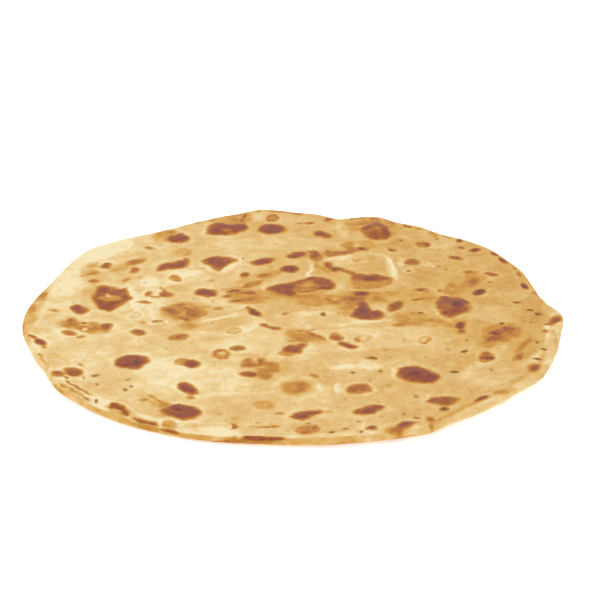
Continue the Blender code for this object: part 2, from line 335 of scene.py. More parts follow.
# Larger spots with corners in them, as (browning, outline).
PATCHES = (
    (0.7, ((-75.7, 19.3), (-73, 21.6), (-70.5, 20.3), (-66.5, 18.8), (-63.9, 20), (-62.8, 15), (-61.2, 9.5),
        (-63.6, 5.5), (-66, 1), (-68.5, -1.5), (-72.5, -0.4), (-74.8, 4), (-76.4, 9.5), (-75.7, 14))),
    (0.74, ((-54.4, 36), (-54, 39.5), (-53, 42), (-50.5, 43.3), (-47.6, 43.6), (-46.4, 45.6), (-44.6, 45.6),
        (-43.4, 48.2), (-42, 47), (-41.2, 43), (-42, 40), (-43.6, 38.2), (-47, 37.4), (-50, 36.4),
        (-52, 35.2))),
    (0.7, ((-37, 45.5), (-35, 48), (-32, 49.3), (-28, 48.8), (-25, 48), (-23, 46.5), (-22.2, 44.5),
        (-24.5, 43), (-26.5, 41), (-28, 38), (-29.8, 34.6), (-31.5, 37), (-33, 40), (-35.5, 42.5))),
    (0.68, ((-38, 16.5), (-37, 19.3), (-34, 19.4), (-31.5, 18.3), (-29, 17.5), (-28.4, 14.5), (-29.5, 12.3),
        (-32, 11.6), (-35, 12.4), (-37.4, 14.4))),
    (0.8, ((-10.5, 18), (-9.5, 20.6), (-6, 22.6), (-2, 23.8), (1.5, 25.8), (4.5, 28.2), (8, 30),
        (11.5, 29.3), (9.5, 27), (6, 25.6), (3, 23), (1.3, 21), (0.5, 18.5), (2, 17), (1.4, 14.5),
        (0.3, 12), (-1.4, 10.6), (-4, 13), (-7.6, 15))),
    (0.48, ((0.6, 23), (4, 26), (8, 28), (9.4, 24), (11, 19.4), (9.6, 17), (4, 15.2), (0, 15))),
    (0.62, ((7.6, 27.5), (9, 29.7), (11.5, 29.4), (14.2, 26.5), (15.7, 23.5), (16.4, 21.3), (15.4, 19),
        (13, 17.4), (10.4, 17.9), (9.4, 20.4), (8, 22.5), (7.2, 25))),
    (0.64, ((22.7, 32), (25, 32.6), (29, 32), (33, 32.2), (36, 30.8), (38.6, 28.8), (37, 26.4), (33, 25),
        (27, 25), (23.4, 25.6), (22.3, 29))),
    (0.36, ((22.4, 31), (38.6, 29), (38, 25), (36, 21), (33, 19.8), (28, 19), (23, 19.4), (22.3, 26))),
    (0.7, ((11.7, 43), (13.4, 43.9), (15.2, 41.7), (16, 39.7), (19, 38.6), (21, 36.7), (23.6, 34.8),
        (22, 34.2), (19.5, 35.1), (15.5, 34.4), (14, 36), (12.8, 39))),
    (0.64, ((5.2, 54.6), (8, 55.2), (9.8, 54.1), (10.6, 52), (11.9, 49), (11.5, 46.4), (9.8, 43.8), (8, 45),
        (6.6, 47.5), (5.8, 51))),
    (0.42, ((12, 51), (13, 54.6), (17, 55.2), (19.6, 54.8), (22, 57.2), (25, 59.8), (28.5, 60.2),
        (29, 57.4), (26, 55.2), (23, 52.8), (20.5, 50.3), (16.5, 49.6), (13.5, 48.6))),
    (0.52, ((44.2, 46.5), (46, 48.1), (49.5, 47.6), (50.2, 44), (48.5, 41.8), (46, 42.3), (44.4, 44))),
    (0.68, ((-52.4, 67), (-51.5, 69.6), (-49, 71.2), (-46.5, 72.6), (-44.4, 71), (-43.2, 67.5), (-43.5, 64),
        (-46, 61.9), (-49.5, 62.6), (-51.6, 64.4))),
    (0.74, ((-36, 73), (-36.4, 77), (-35.6, 81), (-33, 83.2), (-29.5, 83.3), (-27, 80.8), (-25, 80.8),
        (-22.5, 83), (-20, 82), (-18.9, 78), (-20.4, 74), (-23.5, 71.4), (-27, 70.6), (-31, 71.2),
        (-34, 71.6))),
    (0.72, ((8.2, 73.5), (9.5, 75.5), (11.5, 75.2), (14, 73.2), (16.2, 70), (15.6, 67.8), (12.5, 67.6),
        (9.5, 69.6), (8, 71.5))),
    (0.64, ((27.6, 74), (28, 78), (29.6, 80.4), (32, 82.6), (34.5, 83.6), (36.8, 82), (38.6, 79),
        (40.4, 75), (40.4, 70.6), (38.2, 67.1), (35, 66.1), (31.6, 67.3), (28.8, 70.5))),
    (0.5, ((49.2, 62.5), (50.2, 64.7), (53, 65), (55.5, 63), (55.7, 60.2), (54, 58.6), (50.5, 59.1))),
    (0.34, ((-50, 2), (-47, 4.5), (-43, 6.6), (-39, 5.6), (-35, 3), (-32.4, -0.5), (-32.4, -4), (-35, -7),
        (-38.5, -9.4), (-43.5, -8.3), (-46.5, -4.5), (-49.5, -1))),
    (0.64, ((-59.2, -18.5), (-57.5, -16.6), (-56, -17.3), (-54, -19.6), (-53.6, -21.3), (-55.5, -22.4),
        (-58, -21.4))),
    (0.48, ((-45.4, -24.5), (-44, -21.9), (-41.5, -20.9), (-39, -21.3), (-37.6, -23.5), (-38.8, -26.1),
        (-42, -26.7), (-44.5, -26.4))),
    (0.86, ((-61.9, -43), (-61, -40), (-59, -38.5), (-55, -38.3), (-52.4, -39.4), (-50.7, -42.5),
        (-51.4, -46), (-53, -49.1), (-56, -49.9), (-60, -48.9), (-61.9, -46))),
    (0.76, ((-38.2, -43), (-35.5, -41.9), (-33, -42.9), (-31.7, -45), (-33, -47.6), (-35.5, -48.1),
        (-38, -46.6))),
    (0.72, ((-3.6, -31.5), (-1.5, -30.2), (1, -30.4), (3.5, -29.1), (5.4, -29.9), (3.9, -32), (3.1, -34),
        (2.1, -36.9), (-0.5, -37.4), (-3, -36.2), (-3.9, -34))),
    (0.2, ((-2.4, -26), (0, -17.4), (4, -17.6), (9, -22.5), (13.2, -28), (6, -28.4), (-1, -28.8))),
    (0.94, ((15.6, -29), (17.5, -28.1), (20, -29.3), (23, -31.3), (23.5, -33), (21.5, -34), (18.5, -32.2),
        (16.3, -30.6))),
    (0.8, ((24, 6.2), (26, 7.2), (28.2, 5.5), (28.7, 1), (29.7, -1.8), (31.5, -1.3), (33.7, -3), (34.2, -6),
        (33, -8.7), (29, -10.2), (24.5, -9.7), (21.3, -7), (21, -3), (22, -0.4), (23.8, 1))),
    (0.66, ((34.8, 0.5), (36, 3.5), (38, 6.7), (40.5, 8), (42, 6), (41.6, 2.5), (40, -0.7), (38, -2.2),
        (35, -2.6))),
    (0.8, ((35.5, -52), (36.6, -48.9), (39.6, -47), (44, -46.9), (48, -48.6), (50.5, -52), (50.6, -56),
        (48, -59), (44, -59.6), (39.5, -58.4), (36.4, -55.5))),
    (0.78, ((-38.5, -58.9), (-36.5, -58.2), (-34.2, -60.2), (-32.6, -64), (-32.2, -66.2), (-34.6, -67.4),
        (-36.8, -65.3), (-38.7, -61.6))),
    (0.76, ((-42.8, -77), (-40.5, -74.8), (-38, -73.4), (-35.5, -74.1), (-32.4, -75.4), (-30.6, -78),
        (-30.3, -81), (-32, -83.7), (-35.5, -84.9), (-39.5, -83.7), (-42.8, -81), (-44.4, -78.8))),
    (0.74, ((-0.7, -82.4), (1, -80), (3.5, -78.6), (7, -77.7), (9.6, -78.2), (9.6, -80.4), (7.2, -82),
        (5.4, -84.2), (3, -85), (0.6, -84.6))),
    (0.54, ((18.1, -64.5), (19, -61.4), (21.5, -59.8), (25.4, -59.8), (26.7, -62.5), (25.9, -65.6),
        (22.5, -66.7), (19.3, -66.5))),
    (0.78, ((19.8, -80.6), (21.2, -78), (24, -75.6), (27, -74.8), (31.2, -76.1), (29.6, -78.6),
        (26.6, -81.7), (23.5, -82.5), (20.8, -81.9))),
    (0.68, ((44.4, -73), (46.5, -70), (50, -69.1), (54, -69.6), (56.4, -71.5), (54.6, -74.1), (52, -77.1),
        (49, -77.1), (46, -75.1))),
    (0.54, ((30.4, -94), (31.5, -91.5), (34, -90.3), (35, -88.4), (38, -87.1), (41.2, -88.2), (38.6, -90.6),
        (36.6, -92.6), (34.5, -94.7), (31.5, -95.2))),
    (0.64, ((53.5, 6), (54.4, 10), (56.5, 12.8), (58.6, 12.5), (60, 11), (62, 12.2), (64.6, 10.2),
        (66.5, 6), (66.8, 2), (65.6, -2), (62.6, -4.2), (60, -5.7), (58, -7.4), (55.8, -6.2), (55.2, -2),
        (53.8, 2))),
    (0.42, ((71.3, -19), (73.5, -16), (76.5, -13.4), (79.9, -14.6), (81.5, -18.5), (81, -21.9), (77, -24.3),
        (73, -25), (70.4, -23))),
    (0.52, ((66.1, -38), (67.2, -35.3), (69, -34.3), (70.5, -36.5), (70.9, -39.5), (70.2, -41.6),
        (67.5, -43.4), (65.8, -41.5))),
    (0.74, ((81.3, -50), (81.9, -47.4), (84.5, -45.3), (86.7, -45.6), (86.5, -48.6), (84.6, -51.2),
        (82.4, -51.5))),
    (0.4, ((-18.6, -46), (-18, -43), (-16.9, -40.2), (-15.2, -40.4), (-14.4, -43.3), (-12.8, -43.3),
        (-12, -40.3), (-10.4, -40.3), (-9.4, -42.4), (-7, -42.8), (-5.2, -46.5), (-4.4, -50), (-6.4, -51),
        (-7.4, -55), (-9, -56), (-12, -54), (-12.4, -49), (-15, -48), (-18, -47.4))),
)  # fmt: skip

# Browned lines, as (half width, browning, path).
STREAKS = (
    # the streaky middle
    (0.8, 0.62, ((1, 24.6), (5, 27.6), (9, 29.4))), (0.6, 0.62, ((1.4, 16), (5, 17), (10, 17.6))),
    (0.6, 0.6, ((1, 19.6), (4.4, 20.6), (8.4, 21.4))), (1.7, 0.62, ((17, 37.6), (21, 34.6), (24, 31.6))),
    (1.4, 0.46, ((37.6, 27), (36.4, 22.6))), (1.2, 0.3, ((23.6, 30), (23.4, 25))),
    (1.1, 0.4, ((23.4, 20.8), (29, 20), (34, 21))), (1.2, 0.36, ((8.6, 44), (9.4, 40), (12, 36), (15, 34))),
    (1.4, 0.3, ((-17, 21), (-12, 26), (-8, 31), (-5.4, 35))),
    (1.2, 0.36, ((-8, 33.6), (-10.4, 31), (-15, 28.6))),
    (0.9, 0.44, ((-24, 14.6), (-18, 15.4), (-12, 13.4))), (0.8, 0.36, ((-28, 18), (-24, 19.6), (-18, 20))),
    (0.8, 0.34, ((-14, 11.4), (-9, 9.6), (-4, 9))), (0.9, 0.3, ((4, 9), (9, 8.4), (14, 5.6))),
    (0.7, 0.4, ((16.4, 11), (18.4, 8), (19.4, 5))), (0.7, 0.36, ((35, 16.6), (37.6, 14), (38, 12))),
    (0.6, 0.4, ((44.4, 11), (46, 8), (46.6, 5))), (0.6, 0.36, ((42, -4), (45, -7.6), (46, -11.4))),
    (0.8, 0.34, ((40, -9.6), (44, -12), (49, -12.6))), (0.6, 0.32, ((47, -12), (50.4, -14.6), (53, -15))),
    # left
    (1.8, 0.42, ((-82, -8), (-81.4, -13), (-78, -16.6), (-73, -17.2), (-69, -15.4))),
    (0.7, 0.5, ((-80.4, 29.8), (-77.4, 31.4))), (0.7, 0.34, ((-83, 27), (-80, 29.2))),
    (0.6, 0.4, ((-55, 12.6), (-52.6, 12), (-50, 12.8))),
    (1.3, 0.56, ((-49, 1.6), (-46.4, -0.6), (-44.4, -3.6), (-42, -7), (-39.4, -8.4), (-38, -6.4))),
    (1.2, 0.54, ((-42, 3.4), (-38.6, 0.4), (-37.8, -4))), (0.9, 0.5, ((-45, 3.8), (-41, 5), (-37, 3.6))),
    (1.1, 0.6, ((-95.6, -23.6), (-92.2, -27.4))), (0.8, 0.5, ((-78.6, -55.6), (-76.8, -57.2))),
    (0.9, 0.4, ((-49.4, -66.6), (-46, -70.4), (-43, -73.4), (-41, -75.4))),
    (0.8, 0.3, ((-89.4, -38), (-87, -44), (-84, -50))),
    (0.5, 0.3, ((-51, -9), (-47.6, -10.4), (-46.4, -13.4))),
    # near side
    (1.1, 0.6, ((-18, -45.6), (-14.4, -46), (-10.4, -45.8))), (1.2, 0.56, ((-16, -41), (-16.4, -45))),
    (1.1, 0.62, ((-11.2, -41.2), (-11.4, -45.6))),
    (0.9, 0.52, ((1, -18.4), (5, -19.8), (9, -23.4), (12.4, -27.4))),
    (0.7, 0.36, ((-0.6, -21), (4, -23), (8, -27))), (0.8, 0.42, ((-1.6, -26.8), (3, -27.4), (6, -29))),
    (0.9, 0.42, ((22.6, -25), (23, -27.6), (26, -27.2))),
    (0.8, 0.42, ((49, -23), (48.2, -27), (46, -28.6))),
    (1.2, 0.72, ((-61.6, -75), (-59, -75.4), (-56.4, -77), (-54.8, -80), (-54, -82))),
    (0.8, 0.56, ((-53, -82.8), (-49, -85), (-46, -86.3), (-43.6, -86.9))),
    (0.7, 0.46, ((-15, -89.3), (-10, -89.4), (-4, -89))),
    (0.5, 0.6, ((-20.2, -86), (-19.2, -88.2), (-19.6, -90))), (0.5, 0.5, ((-19.2, -88), (-17.4, -89.2))),
    (1.2, 0.36, ((-51, -86), (-47.4, -88), (-43.6, -89.4))),
    (0.8, 0.2, ((-38, -88.6), (-33.6, -88.2), (-30, -88.6))),
    # right
    (2.0, 0.4, ((86.4, -23), (83.6, -28), (81, -33), (79, -37))),
    (1.6, 0.3, ((71.4, -27), (70.2, -29.4), (69, -31.4))), (0.8, 0.34, ((84.6, -20), (85.6, -24))),
    (1.1, 0.68, ((75, -21.6), (76.4, -19), (78, -16))),
    (1.1, 0.22, ((87.6, -43.4), (83.6, -51), (78.2, -57.6), (72.6, -63.6))),
    (1.3, 0.28, ((67.6, -68.4), (62.4, -73.4), (55.6, -79.4), (49.4, -85.4), (45.6, -89.6))),
    (1.2, 0.4, ((44.8, -84), (45.6, -88), (45.4, -91.6))), (0.8, 0.3, ((92.2, 11), (93, 6), (93.4, 0))),
    # far rim
    (1.6, 0.52, ((-21.8, 83), (-21.4, 89), (-20.8, 93.4))), (1.2, 0.44, ((-25.6, 83), (-25.6, 88))),
    (1.2, 0.5, ((-16.4, 95.4), (-14, 96))), (1.4, 0.46, ((-11.6, 96), (-6, 95.2), (0, 93.2), (5, 91.6))),
    (0.9, 0.44, ((-32, 90), (-29.6, 91))), (0.8, 0.4, ((-27, 92), (-24, 93))),
    (1.2, 0.34, ((-57, 70), (-54, 73.6))), (1, 0.5, ((23.4, 87.4), (26.4, 88.6), (30, 89.4))),
    (1.2, 0.58, ((31.4, 89), (35.6, 89.1))), (1.3, 0.44, ((38, 87.4), (40.4, 85.4), (42.4, 82.8))),
    (1.8, 0.32, ((23, 79), (25, 77), (28, 76))), (1.2, 0.6, ((45.6, 80.4), (47.8, 79.6), (49.6, 78.6))),
    (1.2, 0.44, ((50, 78), (53.2, 75.6))), (2, 0.36, ((56, 73.4), (58, 70.6), (59, 68))),
    (0.8, 0.4, ((61, 69.6), (64.6, 66.6))),
)  # fmt: skip

# Soft golden smears, in the same form as the spots.
SMEARS = (
    (12, 71.5, 6.4, 5.2, -40, 0.16), (26, 14, 6, 4.8, 0, 0.16), (-1.4, 36.6, 5.4, 5, 0, 0.14),
    (0, 50, 7, 5, 30, 0.14), (-12, 44, 6.4, 4.4, 25, 0.14), (61, -14, 4, 6.4, 0, 0.14),
    (48.6, 18.4, 4.6, 3.6, 10, 0.14), (9, 50, 5, 6, -70, 0.14), (-27, 88, 9, 7.4, 15, 0.3),
    (-52.4, 69.6, 5, 4, 60, 0.3), (-9.5, 77, 8, 7, 0, 0.16), (31, 83.6, 9, 4, 5, 0.22),
    (25, 77, 4, 3.6, 0, 0.17), (42, 77, 7, 2.6, -80, 0.12), (34, 78, 9, 12, 0, 0.16),
    (27, 61.4, 7.5, 4, 0, 0.26), (20, 54, 12, 4, 15, 0.14), (29, 47, 7, 4.5, 60, 0.1),
    (13, 37, 7, 4, -50, 0.19), (30, 27, 10, 7, 0, 0.14), (-14, 28, 11, 4, 40, 0.19),
    (-21, 14.6, 11, 6, 0, 0.14), (-12, 11, 13, 6, 10, 0.1), (12, 8, 16, 5, 0, 0.24),
    (-17, 8.4, 7, 3.4, 0, 0.13), (4, 20, 13, 8, 25, 0.22), (24, 9, 11, 8, 0, 0.13),
    (19.6, 1, 3.4, 7, 0, 0.22), (-90, -14, 8, 5, 80, 0.12), (42, 11, 11, 7, 10, 0.17),
    (60, 3, 9, 11, 0, 0.1), (64.6, 22, 7, 4.8, 40, 0.3), (71.4, 31.5, 4, 5.4, 0, 0.28),
    (46, -9, 9, 6, -20, 0.28), (60, -14, 4, 7, 0, 0.14), (-45, 53.4, 3.6, 3.4, 60, 0.26),
    (76, -19, 7.6, 7, 50, 0.32), (70, -27, 6.4, 3, 55, 0.22), (28, 44, 6, 3, 60, 0.14),
    (84, -27, 8, 2.4, 58, 0.14), (78, -39.4, 5, 3.4, 40, 0.12), (-62.6, 44.8, 4.8, 2, 42, 0.26),
    (-67.6, 39, 6.4, 2.8, 50, 0.24), (-79.4, 35.4, 5.4, 3.4, 85, 0.19), (-78, 28, 5, 4, 20, 0.12),
    (-77.6, 14, 9.6, 2.6, 83, 0.16), (-70, 8, 5, 5, 0, 0.19), (-41, -1, 10, 8.4, 0, 0.19),
    (-38.5, -13.4, 6, 4.4, 0, 0.2), (-76, -15.6, 9, 4.6, -14, 0.25), (-95.6, 3, 8.6, 2.2, 84, 0.22),
    (-97, -11, 10, 1.8, 92, 0.17), (-81, -7, 3, 9, 0, 0.07), (5, -24, 9, 4.4, -35, 0.1),
    (-1, -33, 6, 5.4, 60, 0.16), (24, -25.6, 4.4, 3.4, 0, 0.17), (47, -26, 3, 2.6, 60, 0.12),
    (-11, -48, 8, 7.4, 0, 0.14), (-46, -72, 8, 1.8, -42, 0.16), (-43, -78.4, 4.4, 5, 0, 0.19),
    (5, -92, 5, 4, 0, 0.16), (34.6, -91.6, 5.6, 3, 42, 0.2), (46.4, -88, 2.6, 4.4, 0, 0.12),
    (43, -53.4, 10, 8, -10, 0.07), (1.2, -61.6, 5, 5.2, 0, 0.22), (1.4, -61.8, 3, 3.2, 0, 0.22),
    (-9.8, -73.7, 3.4, 2.4, -20, 0.3), (4, -23, 8, 4, -35, 0.2), (-26, -36.5, 4, 5, 0, 0.12),
    (50, -73, 8, 6, 20, 0.12), (-57, -78.6, 4, 2, -40, 0.29), (-56.4, -44, 7.6, 7.6, 0, 0.07),
    (58, 9, 9, 9, 0, 0.09), (71, -66, 4.4, 1.8, 34, 0.3), (85, -48.4, 5, 3.4, 60, 0.22),
    (89, 27, 7, 1.4, 95, 0.17),
)  # fmt: skip

# Small burst bubbles, browned only round their edge: (x, y, half length, half width, heading, browning).
RINGS = (
    (-25.3, -36.7, 3.2, 2, 90, 0.46), (-58.6, -4.2, 3.2, 1.7, 85, 0.22), (47, -25.8, 2.8, 1.6, 70, 0.26),
    (-49.8, -9.6, 1.7, 1.3, 20, 0.4), (5, -92, 3, 2.2, 0, 0.46), (-54.6, -8.4, 1.6, 1.2, 0, 0.16),
    (25.4, -25.4, 2.8, 2, 20, 0.24), (-21.6, -18.4, 2.4, 2.4, 0, 0.24), (-83.4, -40.4, 1.6, 1.1, 0, 0.2),
    (-9, 88.6, 3.2, 2.2, 80, 0.56), (79, -4.6, 1.6, 1.2, 0, 0.14), (-33, 26, 1.6, 1.1, 30, 0.18),
)  # fmt: skip
RING_WIDTH = 0.7

# Painted highlights on the raised rims round bubbles, paler than the rest, in the same form.
HIGHLIGHT_RINGS = (
    (-58.6, -4.2, 4, 2.4, 85, 0.4), (-50, -9.8, 3.2, 2, 10, 0.34), (-53.6, 15.6, 3.6, 3.6, 0, 0.3),
    (-45.6, -11.4, 2, 2.6, 20, 0.24), (-56, 25, 3, 3, 0, 0.24), (22.4, -63, 5.4, 4.4, 0, 0.2),
    (47, -25.8, 4, 2.6, 70, 0.14), (-21.6, -18.4, 3.6, 3.4, 0, 0.24), (1.2, -61.8, 8, 7.6, 0, 0.16),
    (-46, 29, 4.6, 3, -55, 0.26), (25.4, -25.4, 4, 3.2, 20, 0.24), (-25.3, -36.7, 5, 3.8, 90, 0.2),
)  # fmt: skip

# Pale holes left in a browned spot, in the same form.
HOLES = (
    (-69.4, 8.8, 4, 2.5, 12, 0.54), (-70.3, 11.2, 2.2, 0.5, -64, 1.0), (5.4, 22, 2.4, 1, 35, 0.5),
    (5, 17.8, 2, 0.5, 15, 0.3), (-41.6, -2.2, 1.5, 1.5, 0, 0.3), (-25.3, -36.3, 1.1, 0.9, 0, 0.8),
    (-12, -48, 2.6, 0.5, 10, 0.5), (29, 44, 6, 2, 30, 0.5), (-28.2, 74.9, 1.6, 1.1, 0, 0.3),
    (35, 74, 0.9, 4, 8, 0.14), (29.2, -2.6, 2.6, 0.6, 80, 0.22), (-76, -17.5, 0.8, 0.9, 0, 0.9),
    (25.3, -25.6, 1.9, 0.6, 75, 0.9), (-57.4, -43.4, 2.4, 1.8, 40, 0.16), (67.6, -41.4, 1.1, 0.5, 60, 0.4),
)  # fmt: skip

# Freckles where a small bubble burst, in the same form, the last being how dark each is.
FRECKLES = (
    # the olive brown middles of small spots
    (71, 16.6, 2.2, 1.4, 62, 0.9), (89, 20.4, 2, 1, 100, 0.85), (26.6, 14.2, 2, 1.6, 0, 0.8),
    (61.3, -13.4, 2.2, 1, 85, 0.85), (61.5, -18.6, 1.6, 1, 50, 0.75), (73.4, -20.4, 1.5, 1.4, 0, 0.8),
    (72.8, 55.8, 1.9, 1.2, 20, 0.7), (68.8, -40.2, 1.6, 0.9, 10, 0.85), (67.8, 64.4, 1.4, 1.1, 80, 0.75),
    (-1.2, 36.4, 2, 1.7, 0, 0.75), (-90.3, -30, 2.2, 1.2, -60, 0.8), (-19.7, -32.4, 2.4, 1.9, 0, 0.5),
    (96.2, -11, 3, 1.1, 62, 0.55), (6.4, 83.3, 2, 1.2, 10, 0.5), (14.7, 86.4, 2.2, 1.3, 50, 0.5),
    (47, 44.8, 2.4, 2.2, 0, 0.5), (-58.4, 57.3, 1.8, 1.1, -15, 0.45), (40, 57.4, 1.5, 1.5, 0, 0.6),
    (83.4, 45, 2.6, 1.1, 105, 0.6), (-19, 31, 2.2, 1.6, 85, 0.5), (-14.4, -3.4, 3, 1.1, -62, 0.8),
    # far side
    (-44.6, 53.4, 1, 1.2, 0, 0.3), (20.7, 78, 0.8, 1.6, 0, 0.35), (44, 66.6, 1, 1.4, 0, 0.7),
    (59, 66.8, 1, 1, 0, 0.6), (58.8, 57, 0.8, 1, 0, 0.35), (45.7, 51.2, 0.9, 0.9, 0, 0.35),
    (64.6, 50.8, 1, 0.8, 0, 0.4), (57, 41, 1.1, 0.9, 20, 0.5), (60, 38.6, 0.8, 1.3, 0, 0.5),
    (72.8, 36.4, 1, 0.9, 0, 0.4), (76, 26, 0.9, 1.1, 0, 0.6), (56, 17.8, 0.9, 1.7, 0, 0.6),
    (60.4, 14.4, 0.8, 1.4, 0, 0.4), (80, 13.8, 0.7, 1.3, 0, 0.35), (84.4, 5.2, 2, 0.9, -12, 0.85),
    (51.6, 19.4, 1, 0.7, 0, 0.3), (44.9, 36.3, 0.8, 1, 0, 0.8), (52, 44.4, 0.7, 1.2, 0, 0.4),
    (21, 44.6, 1, 0.8, 0, 0.35), (-20.3, 46.4, 0.8, 1.3, 0, 0.5), (-31.6, 27.2, 1, 1.2, 0, 0.4),
    (-57.6, 24.4, 0.9, 1.1, 0, 0.3), (-30.4, 7.8, 1, 0.8, 0, 0.4), (41.6, 20, 0.8, 1, 0, 0.3),
    (8, 62, 0.7, 0.8, 0, 0.2), (-17, 61, 0.8, 0.9, 0, 0.25), (30, 5.4, 0.8, 1, 0, 0.3),
    (-64, 63, 0.7, 2, 0, 0.25), (-15.4, 83.4, 0.9, 1.2, 0, 0.3), (22.4, 72, 0.7, 0.9, 0, 0.2),
    (4.4, 62, 0.7, 0.7, 0, 0.2), (-66, 52, 0.8, 0.7, 0, 0.25),
    # left
    (-83, 4.8, 1, 1, 0, 0.35), (-77, -11.9, 1, 1, 0, 0.75), (-67.6, -54.4, 1.3, 0.9, 20, 0.6),
    (-66.5, -61, 1.1, 0.9, -40, 0.6), (-56, -57.2, 0.8, 0.9, 0, 0.55), (-54.3, -61.8, 0.9, 0.9, 0, 0.55),
    (-56.6, -65, 1.1, 1, -40, 0.7), (-71.6, -56, 0.8, 1.2, 0, 0.35), (-70, -60, 0.7, 0.9, 0, 0.35),
    (-74, -46.8, 1.5, 1, 0, 0.4), (-69, -70.8, 1, 0.8, 0, 0.6), (-65.2, -72.4, 0.7, 1.1, 20, 0.7),
    (-45, -33, 0.9, 1, 0, 0.35), (-30, -11.6, 0.8, 1.2, 0, 0.35), (-50.6, -9.4, 1.5, 1.1, -30, 0.55),
    (-84, -38.4, 0.8, 0.7, 0, 0.3), (-62, -33, 0.7, 0.7, 0, 0.2), (-68.6, -30, 0.6, 0.8, 0, 0.2),
    (-89.4, -14, 0.7, 0.8, 0, 0.25), (-63.6, -54, 0.7, 0.8, 0, 0.3), (-62, -61, 0.6, 0.7, 0, 0.3),
    (-52, 1.6, 0.7, 0.8, 0, 0.35), (-38, 9.6, 0.9, 0.8, 0, 0.3), (-86.6, 12.6, 0.8, 0.7, 0, 0.2),
    # near side
    (27.4, -40.8, 2, 0.9, -20, 0.85), (32.6, -34.8, 0.8, 1, 0, 0.45), (40, -26.6, 0.7, 1.1, 0, 0.4),
    (46.8, -38.7, 0.7, 1, 0, 0.45), (42.8, -41.4, 0.8, 0.6, 20, 0.4), (20.7, -51.2, 0.8, 1.3, 0, 0.6),
    (30.4, -50.9, 0.8, 1.2, 0, 0.6), (13.6, -51.8, 1, 0.8, 0, 0.35), (26.6, -57.4, 0.8, 1.2, 0, 0.5),
    (49.4, -45.4, 0.8, 0.7, 0, 0.4), (17, -4.4, 0.7, 1.5, 0, 0.4), (11.4, -4.8, 0.9, 1.8, 0, 0.9),
    (6.6, -18, 1.4, 0.6, 20, 0.5), (11.6, -11, 0.7, 0.9, 0, 0.3), (41.6, -68.6, 1.3, 1.8, 0, 0.35),
    (28.8, -72.4, 0.8, 1, 0, 0.4), (32.6, -61, 1, 0.9, 0, 0.4), (17.8, -70.2, 0.8, 0.8, 0, 0.4),
    (15.2, -76.6, 0.8, 0.8, 0, 0.35), (36.7, -82, 0.8, 1.2, 0, 0.5), (29.3, -83.7, 0.7, 1, 0, 0.4),
    (22, -87.3, 0.9, 0.8, 0, 0.45), (40.5, -84.4, 1.1, 1, 0, 0.6), (12.9, -93.9, 0.9, 1, 0, 0.85),
    (16.9, -92, 1.4, 0.9, 0, 0.5), (22.3, -94.2, 0.8, 1, 0, 0.55), (4.8, -87.7, 1.1, 0.7, 0, 0.55),
    (-11, -86.2, 1.3, 0.7, 0, 0.4), (49.9, -79.2, 1.5, 1.6, 0, 0.95), (55.8, -50, 1.9, 0.9, 0, 0.95),
    (-27, -62.8, 0.7, 0.9, 0, 0.35), (9, -68.4, 0.7, 0.6, 0, 0.25), (36, -46, 0.6, 0.8, 0, 0.3),
    (10.6, -60.6, 0.6, 0.7, 0, 0.2), (59.6, -64, 0.7, 0.8, 0, 0.3), (33, -67.4, 0.6, 0.9, 0, 0.25),
    (-2, -47.6, 0.7, 0.9, 0, 0.3), (37.4, -72.6, 0.6, 0.9, 0, 0.3), (59, -58, 0.6, 0.7, 0, 0.3),
    (2.4, -10.6, 0.6, 0.8, 0, 0.2),
    # right
    (47.4, -3.2, 1.4, 1.1, 0, 0.85), (50.8, -9.2, 1, 1.3, 0, 0.75), (62.5, -25.5, 0.9, 1.2, 0, 0.6),
    (55.3, -33, 0.6, 1.7, 0, 0.45), (61, -34.4, 1.4, 1.1, 45, 0.95), (69, -48.8, 0.7, 1.2, -20, 0.65),
    (76.5, -11.8, 0.9, 1.2, 0, 0.75), (87, -12.2, 0.8, 0.9, 0, 0.6), (88.3, -2.2, 1.6, 0.9, -35, 0.9),
    (90.6, -6.2, 1.8, 0.9, -58, 0.95), (93.3, -14.5, 1, 0.8, 30, 0.75), (94.4, -20, 1, 0.8, 0, 0.4),
    (87, -28.2, 0.8, 1.7, 0, 0.85), (88.9, -34.4, 1.3, 1.2, 0, 0.8), (86, -41.2, 1.4, 1, 0, 0.85),
    (78.4, -54.9, 1, 0.8, 0, 0.55), (75, -59, 0.8, 0.7, 0, 0.45), (54, -28.8, 0.7, 0.9, 0, 0.3),
    (73, -31.4, 0.7, 0.9, 0, 0.4), (68.4, -21.6, 0.7, 0.7, 0, 0.4), (52.6, -2.4, 0.7, 0.9, 0, 0.35),
    (66, -53, 0.7, 0.9, 0, 0.3), (74.4, -43.6, 0.6, 0.8, 0, 0.3), (56.6, -23, 0.6, 0.8, 0, 0.3),
    (79.4, -30.8, 0.6, 1, 0, 0.35), (66.4, 25, 0.7, 0.8, 0, 0.3), (81.8, -16.6, 0.6, 0.8, 0, 0.3),
    (52.2, -40.6, 0.6, 0.6, 0, 0.25), (57.8, -43, 0.6, 0.7, 0, 0.25), (80, 41.6, 0.6, 0.7, 0, 0.25),
    (69, 5.4, 0.6, 0.8, 0, 0.25), (76.4, 9, 0.6, 0.7, 0, 0.2),
)  # fmt: skip
